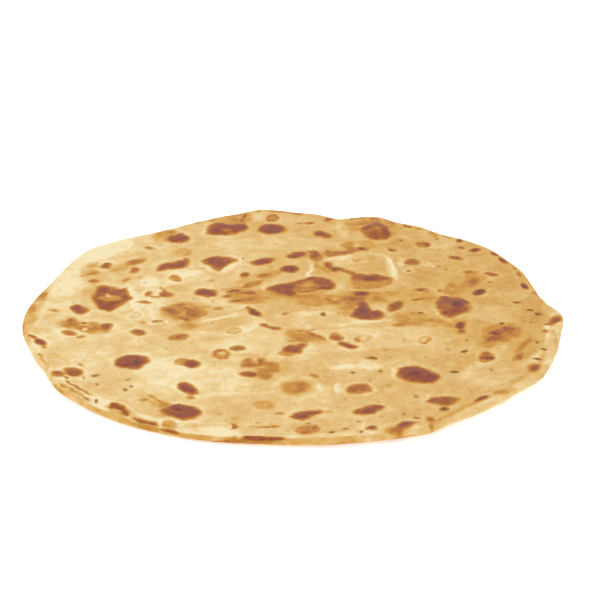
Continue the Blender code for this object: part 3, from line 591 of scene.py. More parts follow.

# Floury or lifted patches, and painted highlights along the rim's edge and beside blisters, in the same form.
FLOURY_AND_HIGHLIGHT_PATCHES = (
    (-78, 54, 17, 8, 48, 0.8), (-86, 28, 18, 5, 76, 0.7), (-84, 45, 8, 6, 60, 0.4),
    (-62, 66, 8, 4, 35, 0.5), (-42, 33, 6, 2.6, 15, 0.8), (-52, 24, 7, 3, 10, 0.5), (-53, 13, 5, 5, 0, 0.5),
    (-60, 9, 10, 1.6, 100, 0.8), (-52, 4, 6, 3, -30, 0.5), (-55, -4, 5, 4, 0, 0.3),
    (-31, 6, 8, 2.4, 10, 0.5), (-24, 2, 7, 3, 10, 0.4), (-26, -7, 7, 1.2, 22, 0.8),
    (-13, -10, 2.4, 4, 30, 0.7), (-17, -15, 4, 2.4, 60, 0.9), (8, -3.4, 7, 2, 0, 0.6),
    (17, -14.6, 4, 1.4, 10, 0.7), (27, -12, 9, 1.4, 14, 0.5), (-6, -38, 6, 3, 70, 0.8),
    (-33, -50, 12, 3.6, 0, 0.4), (-52, -36, 8, 4, 10, 0.35), (17, -47, 4, 1.5, 5, 0.9),
    (26.6, -46, 4, 2.4, -20, 0.8), (53.6, 43, 3.4, 1.8, -50, 0.8), (42.6, 45, 4.4, 1.2, 90, 0.9),
    (45, 37.4, 2.6, 2, 90, 0.8), (17.5, 47.6, 5, 1.8, 20, 0.9), (24, 46, 6, 3.4, 0, 0.6),
    (38.8, 38, 9, 1.7, -82, 1.0), (7, 36, 7, 0.8, 80, 0.8), (72, -36, 8, 2, 62, 0.6),
    (92.4, -24, 14, 1.4, 78, 0.8), (15.4, -63, 3.2, 0.8, 90, 1.0), (-23.6, -91.6, 5.4, 2.2, -14, 0.45),
    (41, -92.6, 4, 1.5, 20, 0.6), (-45, -84.4, 6, 1.4, -24, 0.8), (-60, -73.6, 5, 1, -32, 0.9),
    (-74, -61.6, 9, 0.8, -42, 0.8), (-66, -72.6, 5, 2, -60, 0.9), (14, -96, 14, 1.6, 2, 0.7),
    (-20, -66, 14, 1.4, 6, 0.4), (-46, -62, 9, 4, -20, 0.3), (20, -70, 8, 1, 4, 0.2),
    (2.4, -39.4, 3, 2, 0, 0.3), (-86, 18, 8, 5, 80, 0.5), (12, -27, 46, 9, 5, 0.5),
    (-10, -25, 10, 8, 0, 0.4), (70, -50, 13, 9, 40, 0.6), (77, -4, 8, 8, 0, 0.45), (96, -3, 6, 3, 84, 0.9),
    (97.4, -18, 9, 2, 80, 0.9), (92.4, -36, 14, 2, 68, 0.9), (80.4, -58.4, 16, 2, 54, 0.9),
    (62.4, -77.4, 14, 2, 39, 0.9), (-89, -42, 12, 2, 115, 0.7), (54, 67, 13, 7, -40, 0.4),
    (54, 54, 9, 6, 0, 0.35), (-6, 62, 26, 6, 0, 0.35), (-22, 25, 6, 5, 0, 0.3), (-24, -61, 9, 6, 0, 0.3),
    (-30, -50, 24, 13, 0, 0.35), (74, 44, 7, 6, 0, 0.5), (83, 12, 6, 7, 0, 0.4),
    (85, -40.6, 5, 1.4, 62, 0.9), (-4, 10, 3, 1.6, -60, 0.6), (1.4, 44, 4, 1, 50, 0.3),
    (86, -10, 9, 1, 80, 0.3), (38, -97, 4, 1.4, 10, 0.5), (20, 78, 2.4, 9, 0, 0.6),
    (-15.4, 90, 2.4, 5, 0, 0.6), (-35, 40, 4, 1, -50, 0.7), (-25.4, 37, 5, 1, 55, 0.6),
    (-56, 27, 3, 4, 0, 0.5), (-13, -34, 2, 6, 20, 0.4), (-47, -8, 3, 4, 40, 0.4),
    (-29, -21, 7, 1.6, -10, 0.5), (-57, -28, 3.6, 3, 0, 0.4), (45.6, -16.6, 6, 1, 10, 0.4),
    (10.4, -63, 1.6, 4, 20, 0.4), (34.8, -51, 4, 0.9, 90, 0.8), (28, 18.4, 6, 1.2, 10, 0.3),
    (19, 24, 1.4, 5, 0, 0.5),
)  # fmt: skip

# How brown the rim's wall is and how far that reaches in over the top, as (degrees, browning, reach).
RIM_TOAST = (
    (0, 0.08, 0.8), (8, 0.16, 1), (14, 0.22, 2), (28, 0.22, 1.6), (40, 0.24, 1.4), (50, 0.26, 1.2),
    (57, 0.28, 1.2), (61, 0.34, 1.2), (68, 0.36, 1.4), (75, 0.26, 1), (79, 0.1, 0.6), (85, 0.24, 1),
    (92, 0.26, 1.4), (100, 0.26, 1.6), (104, 0.26, 2.4), (116, 0.24, 2), (121, 0.18, 1), (125, 0.28, 1.6),
    (131, 0.12, 0.6), (150, 0.08, 0.6), (166, 0.1, 0.6), (173, 0.22, 2.4), (185, 0.22, 2.6), (196, 0.18, 2),
    (202, 0.15, 1), (210, 0.15, 0.6), (220, 0.18, 0.3), (250, 0.22, 0.3), (275, 0.2, 0.3), (290, 0.15, 0.3),
    (300, 0.09, 0.6), (320, 0.04, 1.4), (331, 0.04, 1.4), (340, 0.04, 1.6), (350, 0.06, 1.2),
)  # fmt: skip

# Spots on the wall, as (degrees, share of its height, half length, half height as a share, browning).
# The long low ones darken the foot of the near side, and the two highest a band just under the lip.
WALL_SPOTS = (
    (263.8, 0.88, 8, 0.22, 0.72), (246.4, 0.82, 4.6, 0.18, 0.56), (262, 0.55, 9, 0.4, 0.42),
    (256, 0.3, 7, 0.3, 0.34), (237, 0.12, 14, 0.14, 0.36), (225, 0.12, 12, 0.14, 0.38),
    (280, 0.3, 8, 0.25, 0.3), (218, 0.5, 5, 0.3, 0.3), (293, 0.3, 5, 0.2, 0.26), (190, 0.5, 6, 0.4, 0.46),
    (20, 0.5, 5, 0.3, 0.5), (62, 0.4, 8, 0.3, 0.45), (97, 0.5, 9, 0.35, 0.5), (122, 0.4, 6, 0.3, 0.5),
    (143, 0.3, 9, 0.3, 0.3), (158, 0.35, 6, 0.25, 0.4), (342, 0.4, 6, 0.3, 0.36), (255, 0.08, 20, 0.1, 0.4),
    (278, 0.08, 20, 0.1, 0.4),
)  # fmt: skip

SPOT_SKIRT = 0.9  # how far outside its outline a large spot's browning starts
SPOT_DEEPENING = 1.9  # how far in from there a spot of char gets to two thirds of its full strength
SMALL_SKIRT = 0.4  # the most that the two can be in a small spot, as shares of its mean radius
SMALL_DEEPENING = 0.6
BELL_POWER = 1.4  # of the bell that it deepens by
SMEAR_SOFTNESS = 5.0  # width of a smear's blurred edge
HOLE_SOFTNESS = 2.2  # the same for a hole or a pale patch
SMALL_SOFTNESS = 1.2  # the most that either can be in a small one, as a share of its mean radius
EDGE_OUTSIDE = 0.7  # the share of that edge that lies outside the outline
WANDER = (0.6, 3.6)  # how far a spot's edge wanders, and over what length
FINE_WANDER = (0.25, 1.4)  # the same on top of that
UNEVEN = (0.16, 3.2)  # how much a spot's darkness varies, and over what length
SMEAR_UNEVEN = (0.48, 3.2)  # the same for the smears
# Painted shade in the furrows: browning that grows with their depth.
FURROW_SHADE = 1.3  # browning for each mm of depth

SHOULDER = (1.8, 2.6)  # the rim's wall above its widest line: its width, and how square it is
FOOT = (3.0, 2.0)  # the same below that line
REACH_UNEVEN = (0.5, 5.0)  # how much the toast's reach over the top varies, and over what length
# How much the toast varies, over what length, how many mm the wall's height counts as, and the seed.
RIM_PATCHY = ((0.35, 4.5, 4, 21), (0.25, 1.7, 6, 22))
# How far the edge of a wall's spot wanders in half lengths, over what length, and that count again.
WALL_SPOT_RAGGED = (0.3, 2.5, 5)
WALL_SPOT_TOP = (1.3, 0.8)  # how far in over the top such a spot goes, and the width of its fade there
WALL_SPOT_FALL = (1.6, 1.1)  # browning is the S-curve of the first less the second times the radii away

PALENESS = (0.45, -0.28, -0.08)  # of the plain skin: in the middle, and for each 100 mm along X and Y
PALE_STRENGTH = 0.4  # of the pale patches
# Painted highlight on the ridges' crests, stronger the higher they stand.
RIDGE_HIGHLIGHT = 1.3  # for each mm of height
TORN_PALENESS = 0.3
TORN_PALE_FROM = (0.6, 0.8)  # how far in from the rim the torn layer turns pale, and over what width
HALO = (0.16, 1.4, 1.1)  # paler skin round a dark spot: how much, how far outside its edge, how wide
HALO_FROM = (1.5, 0.5)  # the mean radius and browning above which a spot has one


def wandered(x, y):
    """The points moved about by coarse and fine lumps, so that an ellipse drawn on them is ragged."""
    (far, length), (fine, fine_length) = WANDER, FINE_WANDER
    new_x = x + far * lumps(x, y, length, 11) + fine * lumps(x, y, fine_length, 12)
    new_y = y + far * lumps(x, y, length, 13) + fine * lumps(x, y, fine_length, 14)
    return new_x, new_y


def inside_ellipse(x, y, spot):
    """How far each point is inside the spot's ellipse, and less than 0 outside it: one less its distance
    from the middle in half lengths and half widths, times the ellipse's mean radius."""
    at_x, at_y, half_length, half_width, heading = spot[:5]
    cosine, sine = polar(1, heading)
    along = (x - at_x) * cosine + (y - at_y) * sine
    across = (y - at_y) * cosine - (x - at_x) * sine
    return (1 - np.hypot(along / half_length, across / half_width)) * np.sqrt(half_length * half_width)


def inside_outline(x, y, outline):
    """How far each point is inside the outline, and less than 0 outside it: the distance to its nearest
    side, signed by whether a ray from the point towards +X crosses an odd number of sides."""
    corners = np.array([*outline, outline[0]], float)
    within = np.zeros(x.shape, bool)
    for (from_x, from_y), (to_x, to_y) in zip(corners, corners[1:]):
        level = (from_y > y) != (to_y > y)
        left = ((x - from_x) * (to_y - from_y) < (y - from_y) * (to_x - from_x)) == (to_y > from_y)
        within ^= level & left
    away, _, _ = near_path(x, y, corners)
    return np.where(within, away, -away)


def deepened(inside, browning, size):
    """A spot's browning: 0 a skirt's width outside its outline, then up to the full strength as one less
    a falling bell, which rises faster in a light or small spot."""
    skirt = min(SPOT_SKIRT, SMALL_SKIRT * size)
    deepening = min(SPOT_DEEPENING * browning, SMALL_DEEPENING * size)
    return browning * (1 - np.exp(-((np.maximum(inside + skirt, 0) / deepening) ** BELL_POWER)))


def insides(x, y, spots, patches):
    """For each spot and patch in turn: how far inside it each point is, its browning and its mean radius.
    A patch's is the square root of a quarter of its box."""
    for spot in spots:
        _, _, half_length, half_width, _, browning = spot
        yield inside_ellipse(x, y, spot), browning, np.sqrt(half_length * half_width)
    for browning, outline in patches:
        box = np.ptp(np.array(outline), axis=0)
        yield inside_outline(x, y, outline), browning, np.sqrt(np.prod(box) / 4)


def browning_of(x, y, spots, patches=()):
    """The darkest of the spots and patches at each point, made uneven by lumps."""
    total = np.zeros(x.shape)
    for inside, browning, size in insides(x, y, spots, patches):
        total = np.maximum(total, deepened(inside, browning, size))
    uneven, length = UNEVEN
    return total * (1 + uneven * lumps(x, y, length, 15))


def halo(x, y):
    """A bell round each dark spot, a little way outside its edge, that makes the skin there paler."""
    strength, outside, width = HALO
    least_size, least_browning = HALO_FROM
    total = np.zeros(x.shape)
    for inside, browning, size in insides(x, y, SPOTS, PATCHES):
        if size > least_size and browning > least_browning:
            total = np.maximum(total, strength * bell((inside + outside) / width))
    return total


def spread(x, y, spots, softness):
    """How strongly the spots cover each point: each is full inside its ellipse, with an S-shaped edge of
    the given softness. Two spots that overlap add as two glazes do."""
    bare = np.ones(x.shape)
    for spot in spots:
        _, _, half_length, half_width, _, strength = spot
        edge = min(softness, SMALL_SOFTNESS * np.sqrt(half_length * half_width))
        bare = bare * (1 - strength * smoothstep(EDGE_OUTSIDE + inside_ellipse(x, y, spot) / edge))
    return 1 - bare


def ring_cover(x, y, rings):
    """A bell of the ring's width across the edge of each ellipse, the strongest of them at each point."""
    total = np.zeros(x.shape)
    for ring in rings:
        total = np.maximum(total, ring[5] * bell(inside_ellipse(x, y, ring) / RING_WIDTH))
    return total


def rim_toast(angle, inset, share):
    """Browning of the rim: each side's own strength on the wall, dying away over the top's outer edge
    and broken up by lumps, then the wall's own spots, each an ellipse round the wall."""
    degrees, strengths, reaches = np.array(RIM_TOAST).T
    arc = np.radians(angle) * MEAN_RADIUS
    patchy = 1
    for much, length, tall, seed in RIM_PATCHY:
        patchy = patchy + much * lumps(arc, share * tall, length, seed)
    much, length = REACH_UNEVEN
    reach = np.interp(angle, degrees, reaches, period=360) * (1 + much * lumps(arc, 0 * arc, length, 23))
    faded = 1 - smoothstep((inset - SHOULDER[0] / 2) / reach)
    total = np.interp(angle, degrees, strengths, period=360) * patchy * np.where(share < 0.5, 1, faded)
    far, fade = WALL_SPOT_TOP
    on_wall = np.where(share < 0.5, inset < FOOT[0], 1 - smoothstep((inset - far) / fade))
    wander, length, tall = WALL_SPOT_RAGGED
    ragged = wander * lumps(arc, share * tall, length, 24)
    full, fall = WALL_SPOT_FALL
    for at_angle, at_share, half_length, half_share, browning in WALL_SPOTS:
        along = np.radians((angle - at_angle + 180) % 360 - 180) * MEAN_RADIUS / half_length
        away = np.hypot(along, (share - at_share) / half_share) + ragged
        total = np.maximum(total, browning * smoothstep(full - fall * away) * on_wall)
    return total


def tones(points, angle, inset, share):
    """Browning, freckles and how pale it is at each point of the top and the wall. Browning is the darkest
    of the spots, streaks, smears and rings, less the holes, and then of the rim's toast and of the painted
    shade in the furrows. Paleness is the plain skin's, plus that of the patches (some of them painted
    highlights), of the painted highlights on ridges and round bubbles, of the halos and of torn skin."""
    x, y = wandered(points[:, 0], points[:, 1])
    browning = browning_of(x, y, SPOTS, PATCHES)
    for streak in STREAKS:
        browning = np.maximum(browning, along_path(x, y, (streak,)))
    much, length = SMEAR_UNEVEN
    smeared = spread(x, y, SMEARS, SMEAR_SOFTNESS) * (1 + much * lumps(x, y, length, 16))
    browning = np.maximum(browning, np.maximum(smeared, ring_cover(x, y, RINGS)))
    browning = browning * (1 - spread(x, y, HOLES, HOLE_SOFTNESS))
    browning = np.maximum(browning, rim_toast(angle, inset, share))
    # Painted shade in the furrows, darker where they are deeper.
    browning = np.maximum(browning, FURROW_SHADE * along_path(x, y, FURROWS))

    in_middle, along_x, along_y = PALENESS
    pale = in_middle + (along_x * points[:, 0] + along_y * points[:, 1]) / 100
    # Some of the patches, and the ridges and rings round bubbles, add painted highlights.
    pale = pale + PALE_STRENGTH * spread(x, y, FLOURY_AND_HIGHLIGHT_PATCHES, HOLE_SOFTNESS)
    pale = pale + RIDGE_HIGHLIGHT * along_path(x, y, RIDGES) + halo(x, y) + ring_cover(x, y, HIGHLIGHT_RINGS)
    start, width = TORN_PALE_FROM
    pale = pale + TORN_PALENESS * torn_side(x, y) * smoothstep((inset - start) / width)
    return browning, browning_of(x, y, FRECKLES), pale


# ---------------------------------------------------------------- the bread's surface
# One closed skin: the top, a rounded wall and the underside. The top is a square grid of points bent
# into a disc, so that it has no pole, and the wall carries the rim's section round the outline.

MM = 0.001  # the mesh is in metres
TONE_LIMIT = 1.15  # the most that browning, freckles or paleness can be
OUTLINE_STEP = 2.5  # degrees between the points that the outline's middle is taken from
SHOULDER_RISE = (0.03, 3.2, 2.6)  # a slight thickening inside the shoulder: share, inset and spread
TOP_CELLS = 128  # from the middle of the top to its edge
TOP_CROWDING = 0.15  # how much closer together its rings are near the edge
TOP_TURN = 63.0  # where the top ends, in degrees round the wall's section, 0 at its widest
WALL_TURNS = (54, 42, 31, 21, 11, 0, -12, -25, -38, -52, -67)  # the wall's rows, in the same degrees

BLISTER_RISE = 0.3
BLISTER_FULL = (5, 0.6)  # the mean radius and browning from which a blister has its full height
BLISTER_SKIRT = 1  # how far outside its outline it starts
BLISTER_SLOPE = 4  # the most that its slope can be wide
FINE_LUMPS = ((12, 0.12, 31), (5, 0.07, 32), (2.2, 0.03, 33))  # size, height and seed

RIM_RIPPLE = ((9, 0.3, 41), (3.4, 0.2, 42), (1.5, 0.1, 43))  # the same, pushing the wall in and out
RIPPLE_SLANT = (1.7, -1.3)  # how far their pattern moves along X and Y for each mm up the wall
RIPPLE_TURNS = 1.4  # they die away at 90 degrees over this, round the section
OUTWARD_SHARE = 0.5  # how much is left of a push outwards
LIP_ANGLES = (205, 276)  # where the skin overhangs the wall
LIP_FADE = 8  # degrees over which each end dies away
LIP_SHARE = 0.7  # how far up the wall the groove below the skin is
LIP_SPREAD = 0.12  # its half height, as a share of the wall
LIP_GROOVE = 0.6  # its depth
LIP_UNEVEN = (0.7, 0.6, 4.0)  # its mean strength, how much that varies, and over what length

UNDER_LIFT = (0.25, 0.4, 14)  # how far its dough lifts off the iron, how uneven that is, over what length
UNDER_FADE = 6  # how far in from the foot the lift takes to reach its full height
UNDER_COUNT = 170  # browned spots
UNDER_REACH = 96  # how far out they go
UNDER_SIZES = (0.75, 0.55)  # the middle and spread of the logarithm of their size
UNDER_SIZE_LIMITS = (0.7, 6.5)
UNDER_BROWNING = (0.3, 0.09)  # and how much more for each mm of size
UNDER_TOAST = (0.35, 4, 0.4, 5)  # browning of its edge, how far in, how uneven, and over what length
UNDER_PALENESS = 0.45
UNDER_MOTTLING = ((0.3, 22, 64), (0.12, 6, 65))  # strength, size and seed


def disc(half):
    """A square grid of (2 half + 1)^2 points bent into a disc: each square ring becomes a circle, with its
    points spread evenly round it. Returns the ring's share of the radius and the angle in degrees."""
    steps = np.arange(-half, half + 1) / half
    across, up = np.meshgrid(steps, steps)
    ring = np.maximum(abs(across), abs(up))
    sideways = abs(across) >= abs(up)
    long_side = np.where(sideways, across, up)
    share = np.divide(np.where(sideways, up, -across), long_side, out=np.zeros_like(ring), where=ring > 0)
    angle = np.where(sideways, 0, 90) + np.where(long_side < 0, 180, 0) + 45 * share
    return ring.ravel(), angle.ravel() % 360


def grid_faces(half):
    """The quads of such a grid, turned anticlockwise as seen from above."""
    across = 2 * half + 1
    corner = (np.arange(across - 1)[:, None] * across + np.arange(across - 1)).ravel()
    return np.column_stack([corner, corner + 1, corner + across + 1, corner + across])


def rim_order(ring, angle):
    """The grid points of the outermost ring, in order round the disc."""
    outermost = np.flatnonzero(ring > 1 - 1e-9)
    return outermost[np.argsort(np.round(angle[outermost], 6) % 360)]


def edge_share(inset):
    """The share of the thickness at each inset from the rim, above the widest line: a superellipse over
    the shoulder's width, plus a bell for the slight thickening."""
    width, square = SHOULDER
    rise, rise_inset, rise_spread = SHOULDER_RISE
    run = 1 - np.clip(inset / width, 0, 1)
    thickening = rise * bell((inset - rise_inset) / rise_spread)
    return 0.5 + 0.5 * (1 - run**square) ** (1 / square) + thickening * np.clip(inset / width, 0, 1)


def wall_section(turn):
    """The inset and the share of the thickness at each turn of the wall's section, in degrees: one
    superellipse above the widest line and one below it."""
    (top_width, top_square), (foot_width, foot_square) = SHOULDER, FOOT
    cosine, sine = np.cos(np.radians(turn)), np.sin(np.radians(np.maximum(-turn, 0)))
    above = top_width * (1 - cosine ** (2 / top_square))
    below = foot_width * (1 - cosine ** (2 / foot_square))
    inset = np.where(turn > 0, above, below)
    return inset, np.where(turn > 0, edge_share(above), 0.5 - 0.5 * sine ** (2 / foot_square))


def blister_height(x, y, spots, patches=()):
    """A low dome for each spot and patch, lower for a small or pale one, with an S-shaped slope."""
    full_size, full_browning = BLISTER_FULL
    total = np.zeros(x.shape)
    for inside, browning, size in insides(x, y, spots, patches):
        rise = BLISTER_RISE * min(size / full_size, 1) * min(browning / full_browning, 1)
        slope = min(size + BLISTER_SKIRT, BLISTER_SLOPE)
        total = np.maximum(total, rise * smoothstep((inside + BLISTER_SKIRT) / slope))
    return total


def relief(x, y):
    """Everything that stands on the sheet: fine lumps, blisters, ridges less furrows, and the torn step."""
    height = blister_height(x, y, SPOTS, PATCHES) + along_path(x, y, RIDGES) - along_path(x, y, FURROWS)
    for size, rise, seed in FINE_LUMPS:
        height = height + rise * lumps(x, y, size, seed)
    return height - TORN_DROP * torn_side(x, y)


def sheet_point(angle, inset, share):
    """The place of each point, in mm: its share of the way from the curled underside to the top."""
    x, y = polar(rim_radius(angle) * (1 - inset / MEAN_RADIUS), angle)
    height = sheet_thickness(x, y) + pleat_height(x, y) + relief(*wandered(x, y))
    return x, y, underside_height(angle, inset) + share * height


# The top: grid rings are a little closer together near the rim.
ring, top_angle = disc(TOP_CELLS)
top_rim = rim_order(ring, top_angle)
top_edge, _ = wall_section(np.array(TOP_TURN))
top_inset = MEAN_RADIUS - (MEAN_RADIUS - top_edge) * ring * (1 + TOP_CROWDING * (1 - ring))
top_share = edge_share(top_inset)
top = np.column_stack(sheet_point(top_angle, top_inset, top_share))

# The wall: one row of points for each turn of the section, pushed in and out by the ripples and, on the
# near left, cut by the groove below the skin.
wall_angle, wall_turn = np.meshgrid(top_angle[top_rim], np.array(WALL_TURNS, float))
wall_inset, wall_share = wall_section(wall_turn)
wall_x, wall_y, wall_z = sheet_point(wall_angle, wall_inset, wall_share)
mean_strength, uneven, length = LIP_UNEVEN
lipped = between(wall_angle, *LIP_ANGLES, LIP_FADE, LIP_FADE)
lipped = lipped * (mean_strength + uneven * lumps(wall_x, wall_y, length, 44))
pushed = -LIP_GROOVE * lipped * bell((wall_share - LIP_SHARE) / LIP_SPREAD)
slant_x, slant_y = RIPPLE_SLANT
for size, depth, seed in RIM_RIPPLE:
    pushed = pushed + depth * lumps(wall_x + slant_x * wall_z, wall_y + slant_y * wall_z, size, seed)
pushed = pushed * np.cos(np.radians(np.clip(wall_turn * RIPPLE_TURNS, -90, 90)))
pushed = np.where(pushed > 0, OUTWARD_SHARE * pushed, pushed)
pushed_x, pushed_y = polar(pushed, wall_angle)
wall = np.stack([wall_x + pushed_x, wall_y + pushed_y, wall_z], axis=-1).reshape(-1, 3)

# The underside: half as fine, flat in the middle, with its own spots bearing on the griddle. Each spot is
# a little longer than it is wide, heads anywhere, and is browner the larger it is.
under_ring, under_angle = disc(TOP_CELLS // 2)
under_rim = rim_order(under_ring, under_angle)
under_inset = MEAN_RADIUS - (MEAN_RADIUS - FOOT[0]) * under_ring
under_x, under_y = polar(rim_radius(under_angle) * (1 - under_inset / MEAN_RADIUS), under_angle)
rng = np.random.default_rng(61)
under_spots = []
least, deeper = UNDER_BROWNING
for _ in range(UNDER_COUNT):
    away, heading = UNDER_REACH * np.sqrt(rng.uniform()), rng.uniform(0, 360)
    size = np.clip(rng.lognormal(*UNDER_SIZES), *UNDER_SIZE_LIMITS)
    browning = np.clip(least + deeper * size + rng.uniform(-0.1, 0.2), 0.25, 1)
    half_length, half_width = size * rng.uniform(1, 1.4), size * rng.uniform(0.6, 0.9)
    under_spots.append((*polar(away, heading), half_length, half_width, rng.uniform(0, 180), browning))
lift, uneven, length = UNDER_LIFT
under_lift = lift * (1 - uneven + uneven * lumps(under_x, under_y, length, 62))
under_lift = np.maximum(under_lift - blister_height(*wandered(under_x, under_y), under_spots), 0)
under_lift = under_lift * smoothstep((under_inset - FOOT[0]) / UNDER_FADE)
under = np.column_stack([under_x, under_y, underside_height(under_angle, under_inset) + under_lift])

# Joined: the top, then the wall's rows, then the underside, two wall points to each of its own.
wall_rows, round_count = wall_turn.shape
wall_start, under_start = len(top), len(top) + len(wall)
rows = [top_rim] + [wall_start + row * round_count + np.arange(round_count) for row in range(wall_rows)]
quads = [grid_faces(TOP_CELLS)]
for upper, lower in zip(rows, rows[1:]):
    quads.append(np.column_stack([lower, np.roll(lower, -1), np.roll(upper, -1), upper]))
quads.append(under_start + grid_faces(TOP_CELLS // 2)[:, ::-1])
lowest, foot = rows[-1], under_start + under_rim
halfway, after = lowest[1::2], np.roll(lowest[::2], -1)
triangles = [
    np.column_stack([foot, halfway, lowest[::2]]),
    np.column_stack([foot, np.roll(foot, -1), halfway]),
    np.column_stack([np.roll(foot, -1), after, halfway]),
]
points = np.concatenate([top, wall, under])
faces = np.concatenate(quads).tolist() + np.concatenate(triangles).tolist()

# The outline's middle goes to the origin, as the frame has it.
outline_angle = np.arange(0, 360, OUTLINE_STEP)
outline = np.column_stack(polar(rim_radius(outline_angle), outline_angle))
middle = np.append((outline.max(axis=0) + outline.min(axis=0)) / 2, 0)

mesh = bpy.data.meshes.new("chapati")
mesh.from_pydata((points - middle) * MM, [], faces)
mesh.shade_smooth()
chapati = bpy.data.objects.new("chapati", mesh)
bpy.context.scene.collection.objects.link(chapati)

# Browning, freckles and paleness at every point, which the dough's colours are mixed by. The browning
# also carries the painted shade in the furrows, and the paleness painted highlights.
browning, freckled, pale = tones(
    np.concatenate([top, wall]),
    np.concatenate([top_angle, wall_angle.ravel()]),
    np.concatenate([top_inset, wall_inset.ravel()]),
    np.concatenate([top_share, wall_share.ravel()]),
)
under_browning = browning_of(*wandered(under_x, under_y), under_spots)
toast, far, uneven, length = UNDER_TOAST
under_toast = toast * (1 - smoothstep((under_inset - FOOT[0]) / far))
under_toast = under_toast * (1 + uneven * lumps(under_x, under_y, length, 63))
under_pale = UNDER_PALENESS
for strength, size, seed in UNDER_MOTTLING:
    under_pale = under_pale + strength * lumps(under_x, under_y, size, seed)

for name, values in (
    ("browning", np.concatenate([browning, np.maximum(under_browning, under_toast)])),
    ("freckles", np.concatenate([freckled, 0 * under_browning])),
    ("paleness_and_highlights", np.concatenate([pale, under_pale])),
):
    attribute = mesh.attributes.new(name, "FLOAT", "POINT")
    attribute.data.foreach_set("value", np.clip(values, 0, TONE_LIMIT).astype(np.float32))


# ---------------------------------------------------------------- the dough's finish
# Griddled wheat dough: a matt cream crumb skin with a faint oily sheen. It goes from cream to tan with
# the flour and the heat, and through gold and russet to a dull purplish char where it met the iron.


def linear(code):
    """An sRGB hex colour as linear RGBA: a channel c up to 0.04045 over 12.92, and a higher one
    ((c + 0.055) / 1.055)^2.4."""
    shares = [int(code[i : i + 2], 16) / 255 for i in (1, 3, 5)]
    return (*(c / 12.92 if c <= 0.04045 else ((c + 0.055) / 1.055) ** 2.4 for c in shares), 1)


def node(tree, kind, inputs=(), stops=(), **settings):
    """Adds a node with its settings. The inputs are a dict, or a tuple in the order of the sockets, and
    each is set to a value, or linked if it is given an output. The stops are a colour ramp's, as (place,
    sRGB hex) in order."""
    new = tree.nodes.new(kind)
    for name, value in settings.items():
        setattr(new, name, value)
    keyed = inputs if isinstance(inputs, dict) else dict(enumerate(inputs))
    for key, value in keyed.items():
        if isinstance(value, bpy.types.NodeSocket):
            tree.links.new(value, new.inputs[key])
        else:
            new.inputs[key].default_value = value
    if stops:
        ramp = new.color_ramp.elements
        ramp.remove(ramp[-1])
        for i, (place, code) in enumerate(stops):
            stop = ramp.new(place) if i else ramp[0]
            stop.position, stop.color = place, linear(code)
    return new


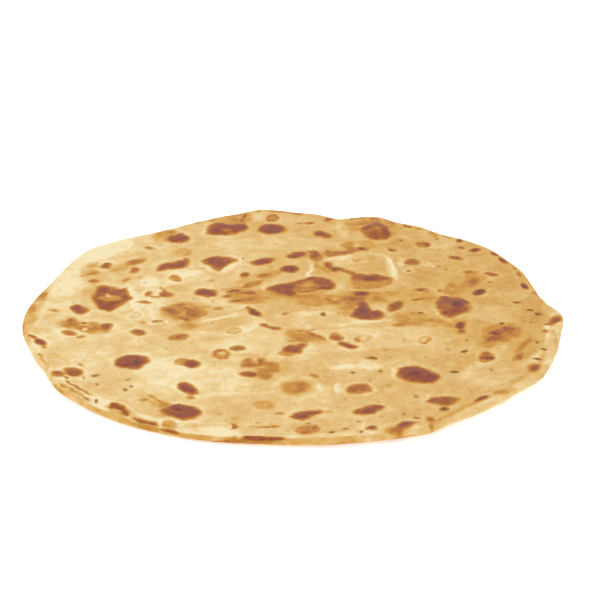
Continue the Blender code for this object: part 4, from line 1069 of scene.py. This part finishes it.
def griddled_dough():
    """Unbleached wheat dough baked on a dry iron. The eye sees a matt, mottled cream skin, with gold rings
    round soft-edged brown spots, small freckles where bubbles burst, and a fine floury grain."""
    material = bpy.data.materials.new("griddled_wheat_dough")
    material.use_nodes = True
    tree = material.node_tree
    tree.nodes.clear()
    place = node(tree, "ShaderNodeTexCoord").outputs["Object"]
    brown, pale, freckles = (
        node(tree, "ShaderNodeAttribute", attribute_name=name).outputs["Fac"]
        for name in ("browning", "paleness_and_highlights", "freckles")
    )

    # The noises that the dough is drawn with: size in metres, detail, roughness and distortion. Flour's
    # own grain, at 0.1 mm, is too fine to show, so it is drawn ten times as coarse.
    noises = (
        (0.018, 2, 0.5, 0),
        (0.009, 2, 0.55, 0.6),
        (0.004, 3, 0.6, 0),
        (0.0015, 3, 0.65, 0),
        (0.0011, 2, 0.6, 0),
    )
    clouds, swell, blotches, fraying, grain = (
        node(
            tree,
            "ShaderNodeTexNoise",
            {"Vector": place, "Scale": 1 / size, "Detail": detail, "Roughness": rough, "Distortion": bent},
        ).outputs["Fac"]
        for size, detail, rough, bent in noises
    )

    # Mottling of the crumb: cloudy, blotchy and grainy, over the paleness, which carries painted highlights.
    mottled = pale
    for noise, strength in ((clouds, 0.8), (blotches, 0.75), (grain, 0.5)):
        centred = node(tree, "ShaderNodeMath", (noise, 0.5), operation="SUBTRACT").outputs[0]
        terms = (centred, strength, mottled)
        mottled = node(tree, "ShaderNodeMath", terms, operation="MULTIPLY_ADD").outputs[0]
    # Painted highlights on fine puckers: the pale lines along which the swell crosses its middle, drawn
    # where the clouds are high. A Map Range is given its value, the two ends that this comes from and the
    # two that they go to.
    off_line = node(tree, "ShaderNodeMath", (swell, 0.5), operation="SUBTRACT").outputs[0]
    from_line = node(tree, "ShaderNodeMath", (off_line,), operation="ABSOLUTE").outputs[0]
    crease_highlight = node(tree, "ShaderNodeMapRange", (from_line, 0.0, 0.02, 0.22, 0.0)).outputs[0]
    cloudy = node(tree, "ShaderNodeMapRange", (clouds, 0.48, 0.6)).outputs[0]
    terms = (crease_highlight, cloudy, mottled)
    mottled = node(tree, "ShaderNodeMath", terms, operation="MULTIPLY_ADD").outputs[0]
    creams = ((0.0, "#b88842"), (0.25, "#c39951"), (0.5, "#cca96b"), (0.75, "#d6ba83"), (1.0, "#ddcda3"))
    crumb = node(tree, "ShaderNodeValToRGB", {"Fac": mottled}, creams).outputs["Color"]

    # The spots' darkness varies by about a sixth either way over 1.5 mm, and again over 4 mm, which also
    # frays their edges.
    swing = node(tree, "ShaderNodeMapRange", (fraying, 0.3, 0.7, 0.81, 1.16)).outputs[0]
    tide = node(tree, "ShaderNodeMapRange", (blotches, 0.35, 0.65, 0.84, 1.14)).outputs[0]
    fine = node(tree, "ShaderNodeMath", (brown, swing), operation="MULTIPLY").outputs[0]
    baked = node(tree, "ShaderNodeMath", (fine, tide), operation="MULTIPLY").outputs[0]

    # The faintest freckles, 1.5 mm across: one in each cell of 6 mm, each as dark as its cell's own lot,
    # which leaves most of them out. The darker of these and the placed ones shows.
    cells = node(tree, "ShaderNodeTexVoronoi", {"Vector": place, "Scale": 1 / 0.006}, feature="F1")
    dot = node(tree, "ShaderNodeMapRange", (cells.outputs["Distance"], 0.05, 0.2, 1.0, 0.0)).outputs[0]
    lot = node(tree, "ShaderNodeSeparateColor", {"Color": cells.outputs["Color"]}).outputs["Red"]
    drawn = node(tree, "ShaderNodeMapRange", (lot, 0.6, 1.0, 0.0, 0.3)).outputs[0]
    faint = node(tree, "ShaderNodeMath", (dot, drawn), operation="MULTIPLY").outputs[0]
    placed = node(tree, "ShaderNodeMath", (freckles, swing), operation="MULTIPLY").outputs[0]
    burst = node(tree, "ShaderNodeMath", (faint, placed), operation="MAXIMUM").outputs[0]

    browns = (
        (0.1, "#c79e54"), (0.2, "#c39440"), (0.32, "#b78132"), (0.44, "#a86b27"), (0.56, "#95521e"),
        (0.68, "#86411f"), (0.82, "#74321f"), (0.92, "#61251a"), (1.0, "#4c1814"),
    )  # fmt: skip
    crust = node(tree, "ShaderNodeValToRGB", {"Fac": baked}, browns).outputs["Color"]
    # A dull ash-pink bloom on parts of the brownest crust, in patches of 4 mm, but hardly on char.
    eased = {"interpolation_type": "SMOOTHSTEP"}
    ash = linear("#8e4f3a")
    ashy = node(tree, "ShaderNodeMapRange", (baked, 0.84, 1.1, 0.5, 0.15)).outputs[0]
    patch = node(tree, "ShaderNodeMath", (baked, blotches), operation="MULTIPLY").outputs[0]
    bloom = node(tree, "ShaderNodeMapRange", (patch, 0.36, 0.5, 0.0, ashy), **eased).outputs[0]
    bloomed = node(tree, "ShaderNodeMix", {0: bloom, 6: crust, 7: ash}, data_type="RGBA").outputs[2]
    cover = node(tree, "ShaderNodeMapRange", (baked, 0.02, 0.3), **eased).outputs[0]
    colour = node(tree, "ShaderNodeMix", {0: cover, 6: crumb, 7: bloomed}, data_type="RGBA").outputs[2]

    # Freckles, where a small bubble burst: gold, then a warm olive brown.
    olives = ((0.1, "#bd9048"), (0.3, "#ad7f38"), (0.55, "#936322"), (0.9, "#67390c"))
    freckle = node(tree, "ShaderNodeValToRGB", {"Fac": burst}, olives).outputs["Color"]
    freckle_cover = node(tree, "ShaderNodeMapRange", (burst, 0.04, 0.42), **eased).outputs[0]
    layers = {0: freckle_cover, 6: colour, 7: freckle}
    freckled = node(tree, "ShaderNodeMix", layers, data_type="RGBA", blend_type="DARKEN").outputs[2]

    # A pitted skin: pits 1.5 mm across over lumps of 4 mm. It is a little less matt where it is browned.
    terms = (fraying, 0.5, blotches)
    pits = node(tree, "ShaderNodeMath", terms, operation="MULTIPLY_ADD").outputs[0]
    bump = node(tree, "ShaderNodeBump", {"Height": pits, "Strength": 0.5, "Distance": 0.0003}).outputs[0]
    matt = node(tree, "ShaderNodeMapRange", (baked, 0.2, 0.8, 0.62, 0.5)).outputs[0]
    surface = node(
        tree,
        "ShaderNodeBsdfPrincipled",
        {
            "Base Color": freckled,
            "Roughness": matt,
            "IOR": 1.4,
            "Specular IOR Level": 0.3,
            "Subsurface Weight": 0.12,
            "Subsurface Radius": (1.0, 0.55, 0.25),
            "Subsurface Scale": 0.0012,
            "Normal": bump,
        },
    )
    node(tree, "ShaderNodeOutputMaterial", {"Surface": surface.outputs["BSDF"]})
    return material


mesh.materials.append(griddled_dough())
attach(chapati, "root")
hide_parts("flatbread")


# ---------------------------------------------------------------- table, light and camera
# A white light table, faintly lit from below so that shadows stay thin, under a white sky and one large
# soft lamp overhead. The camera looks down at the bread from the near side.

FLOOR_HALF = 6.0  # metres, as are the lengths below
WHITE_ACRYLIC = "#f6f6f4"
TABLE_GLOW = 0.5
SKY_STRENGTH = 1.0
LAMP_PLACE = (-0.3, -0.1, 1.4)
LAMP_SIZE = 1.0
LAMP_POWER = 7.0
CAMERA_ELEVATION = 25.1  # degrees
CAMERA_DISTANCE = 0.637
CAMERA_LENS = 100.0
CAMERA_AIM = (0.00234, 0.01399, 0.0)

floor_mesh = bpy.data.meshes.new("table_top")
floor_mesh.from_pydata(
    [(x * FLOOR_HALF, y * FLOOR_HALF, 0) for x, y in ((-1, -1), (1, -1), (1, 1), (-1, 1))], [], [(0, 1, 2, 3)]
)
floor = bpy.data.objects.new("table_top", floor_mesh)
bpy.context.scene.collection.objects.link(floor)
acrylic = bpy.data.materials.new("opal_acrylic")
acrylic.use_nodes = True
acrylic.node_tree.nodes.clear()
sheet = node(
    acrylic.node_tree,
    "ShaderNodeBsdfPrincipled",
    {
        "Base Color": linear(WHITE_ACRYLIC),
        "Roughness": 0.9,
        "IOR": 1.3,
        "Emission Color": (1, 1, 1, 1),
        "Emission Strength": TABLE_GLOW,
    },
)
node(acrylic.node_tree, "ShaderNodeOutputMaterial", {"Surface": sheet.outputs["BSDF"]})
floor_mesh.materials.append(acrylic)

sky = bpy.data.worlds.new("white_sky")
sky.use_nodes = True
sky.node_tree.nodes.clear()
glow = node(sky.node_tree, "ShaderNodeBackground", {"Color": (1, 1, 1, 1), "Strength": SKY_STRENGTH})
node(sky.node_tree, "ShaderNodeOutputWorld", {"Surface": glow.outputs["Background"]})
bpy.context.scene.world = sky


def aimed(name, data, place, aim):
    """An object at the place, whose own -Z looks at the aim with its +Y upwards."""
    thing = bpy.data.objects.new(name, data)
    bpy.context.scene.collection.objects.link(thing)
    thing.location = place
    thing.rotation_euler = (Vector(aim) - Vector(place)).to_track_quat("-Z", "Y").to_euler()
    return thing


lamp = bpy.data.lights.new("soft_lamp", "AREA")
lamp.shape = "SQUARE"
lamp.size = LAMP_SIZE
lamp.energy = LAMP_POWER
aimed("soft_lamp", lamp, LAMP_PLACE, (0, 0, 0))

camera = bpy.data.cameras.new("camera")
camera.lens = CAMERA_LENS
back, height = polar(CAMERA_DISTANCE, CAMERA_ELEVATION)
aim_x, aim_y, aim_z = CAMERA_AIM
bpy.context.scene.camera = aimed("camera", camera, (aim_x, aim_y - back, aim_z + height), CAMERA_AIM)
bpy.context.scene.view_settings.view_transform = "Standard"
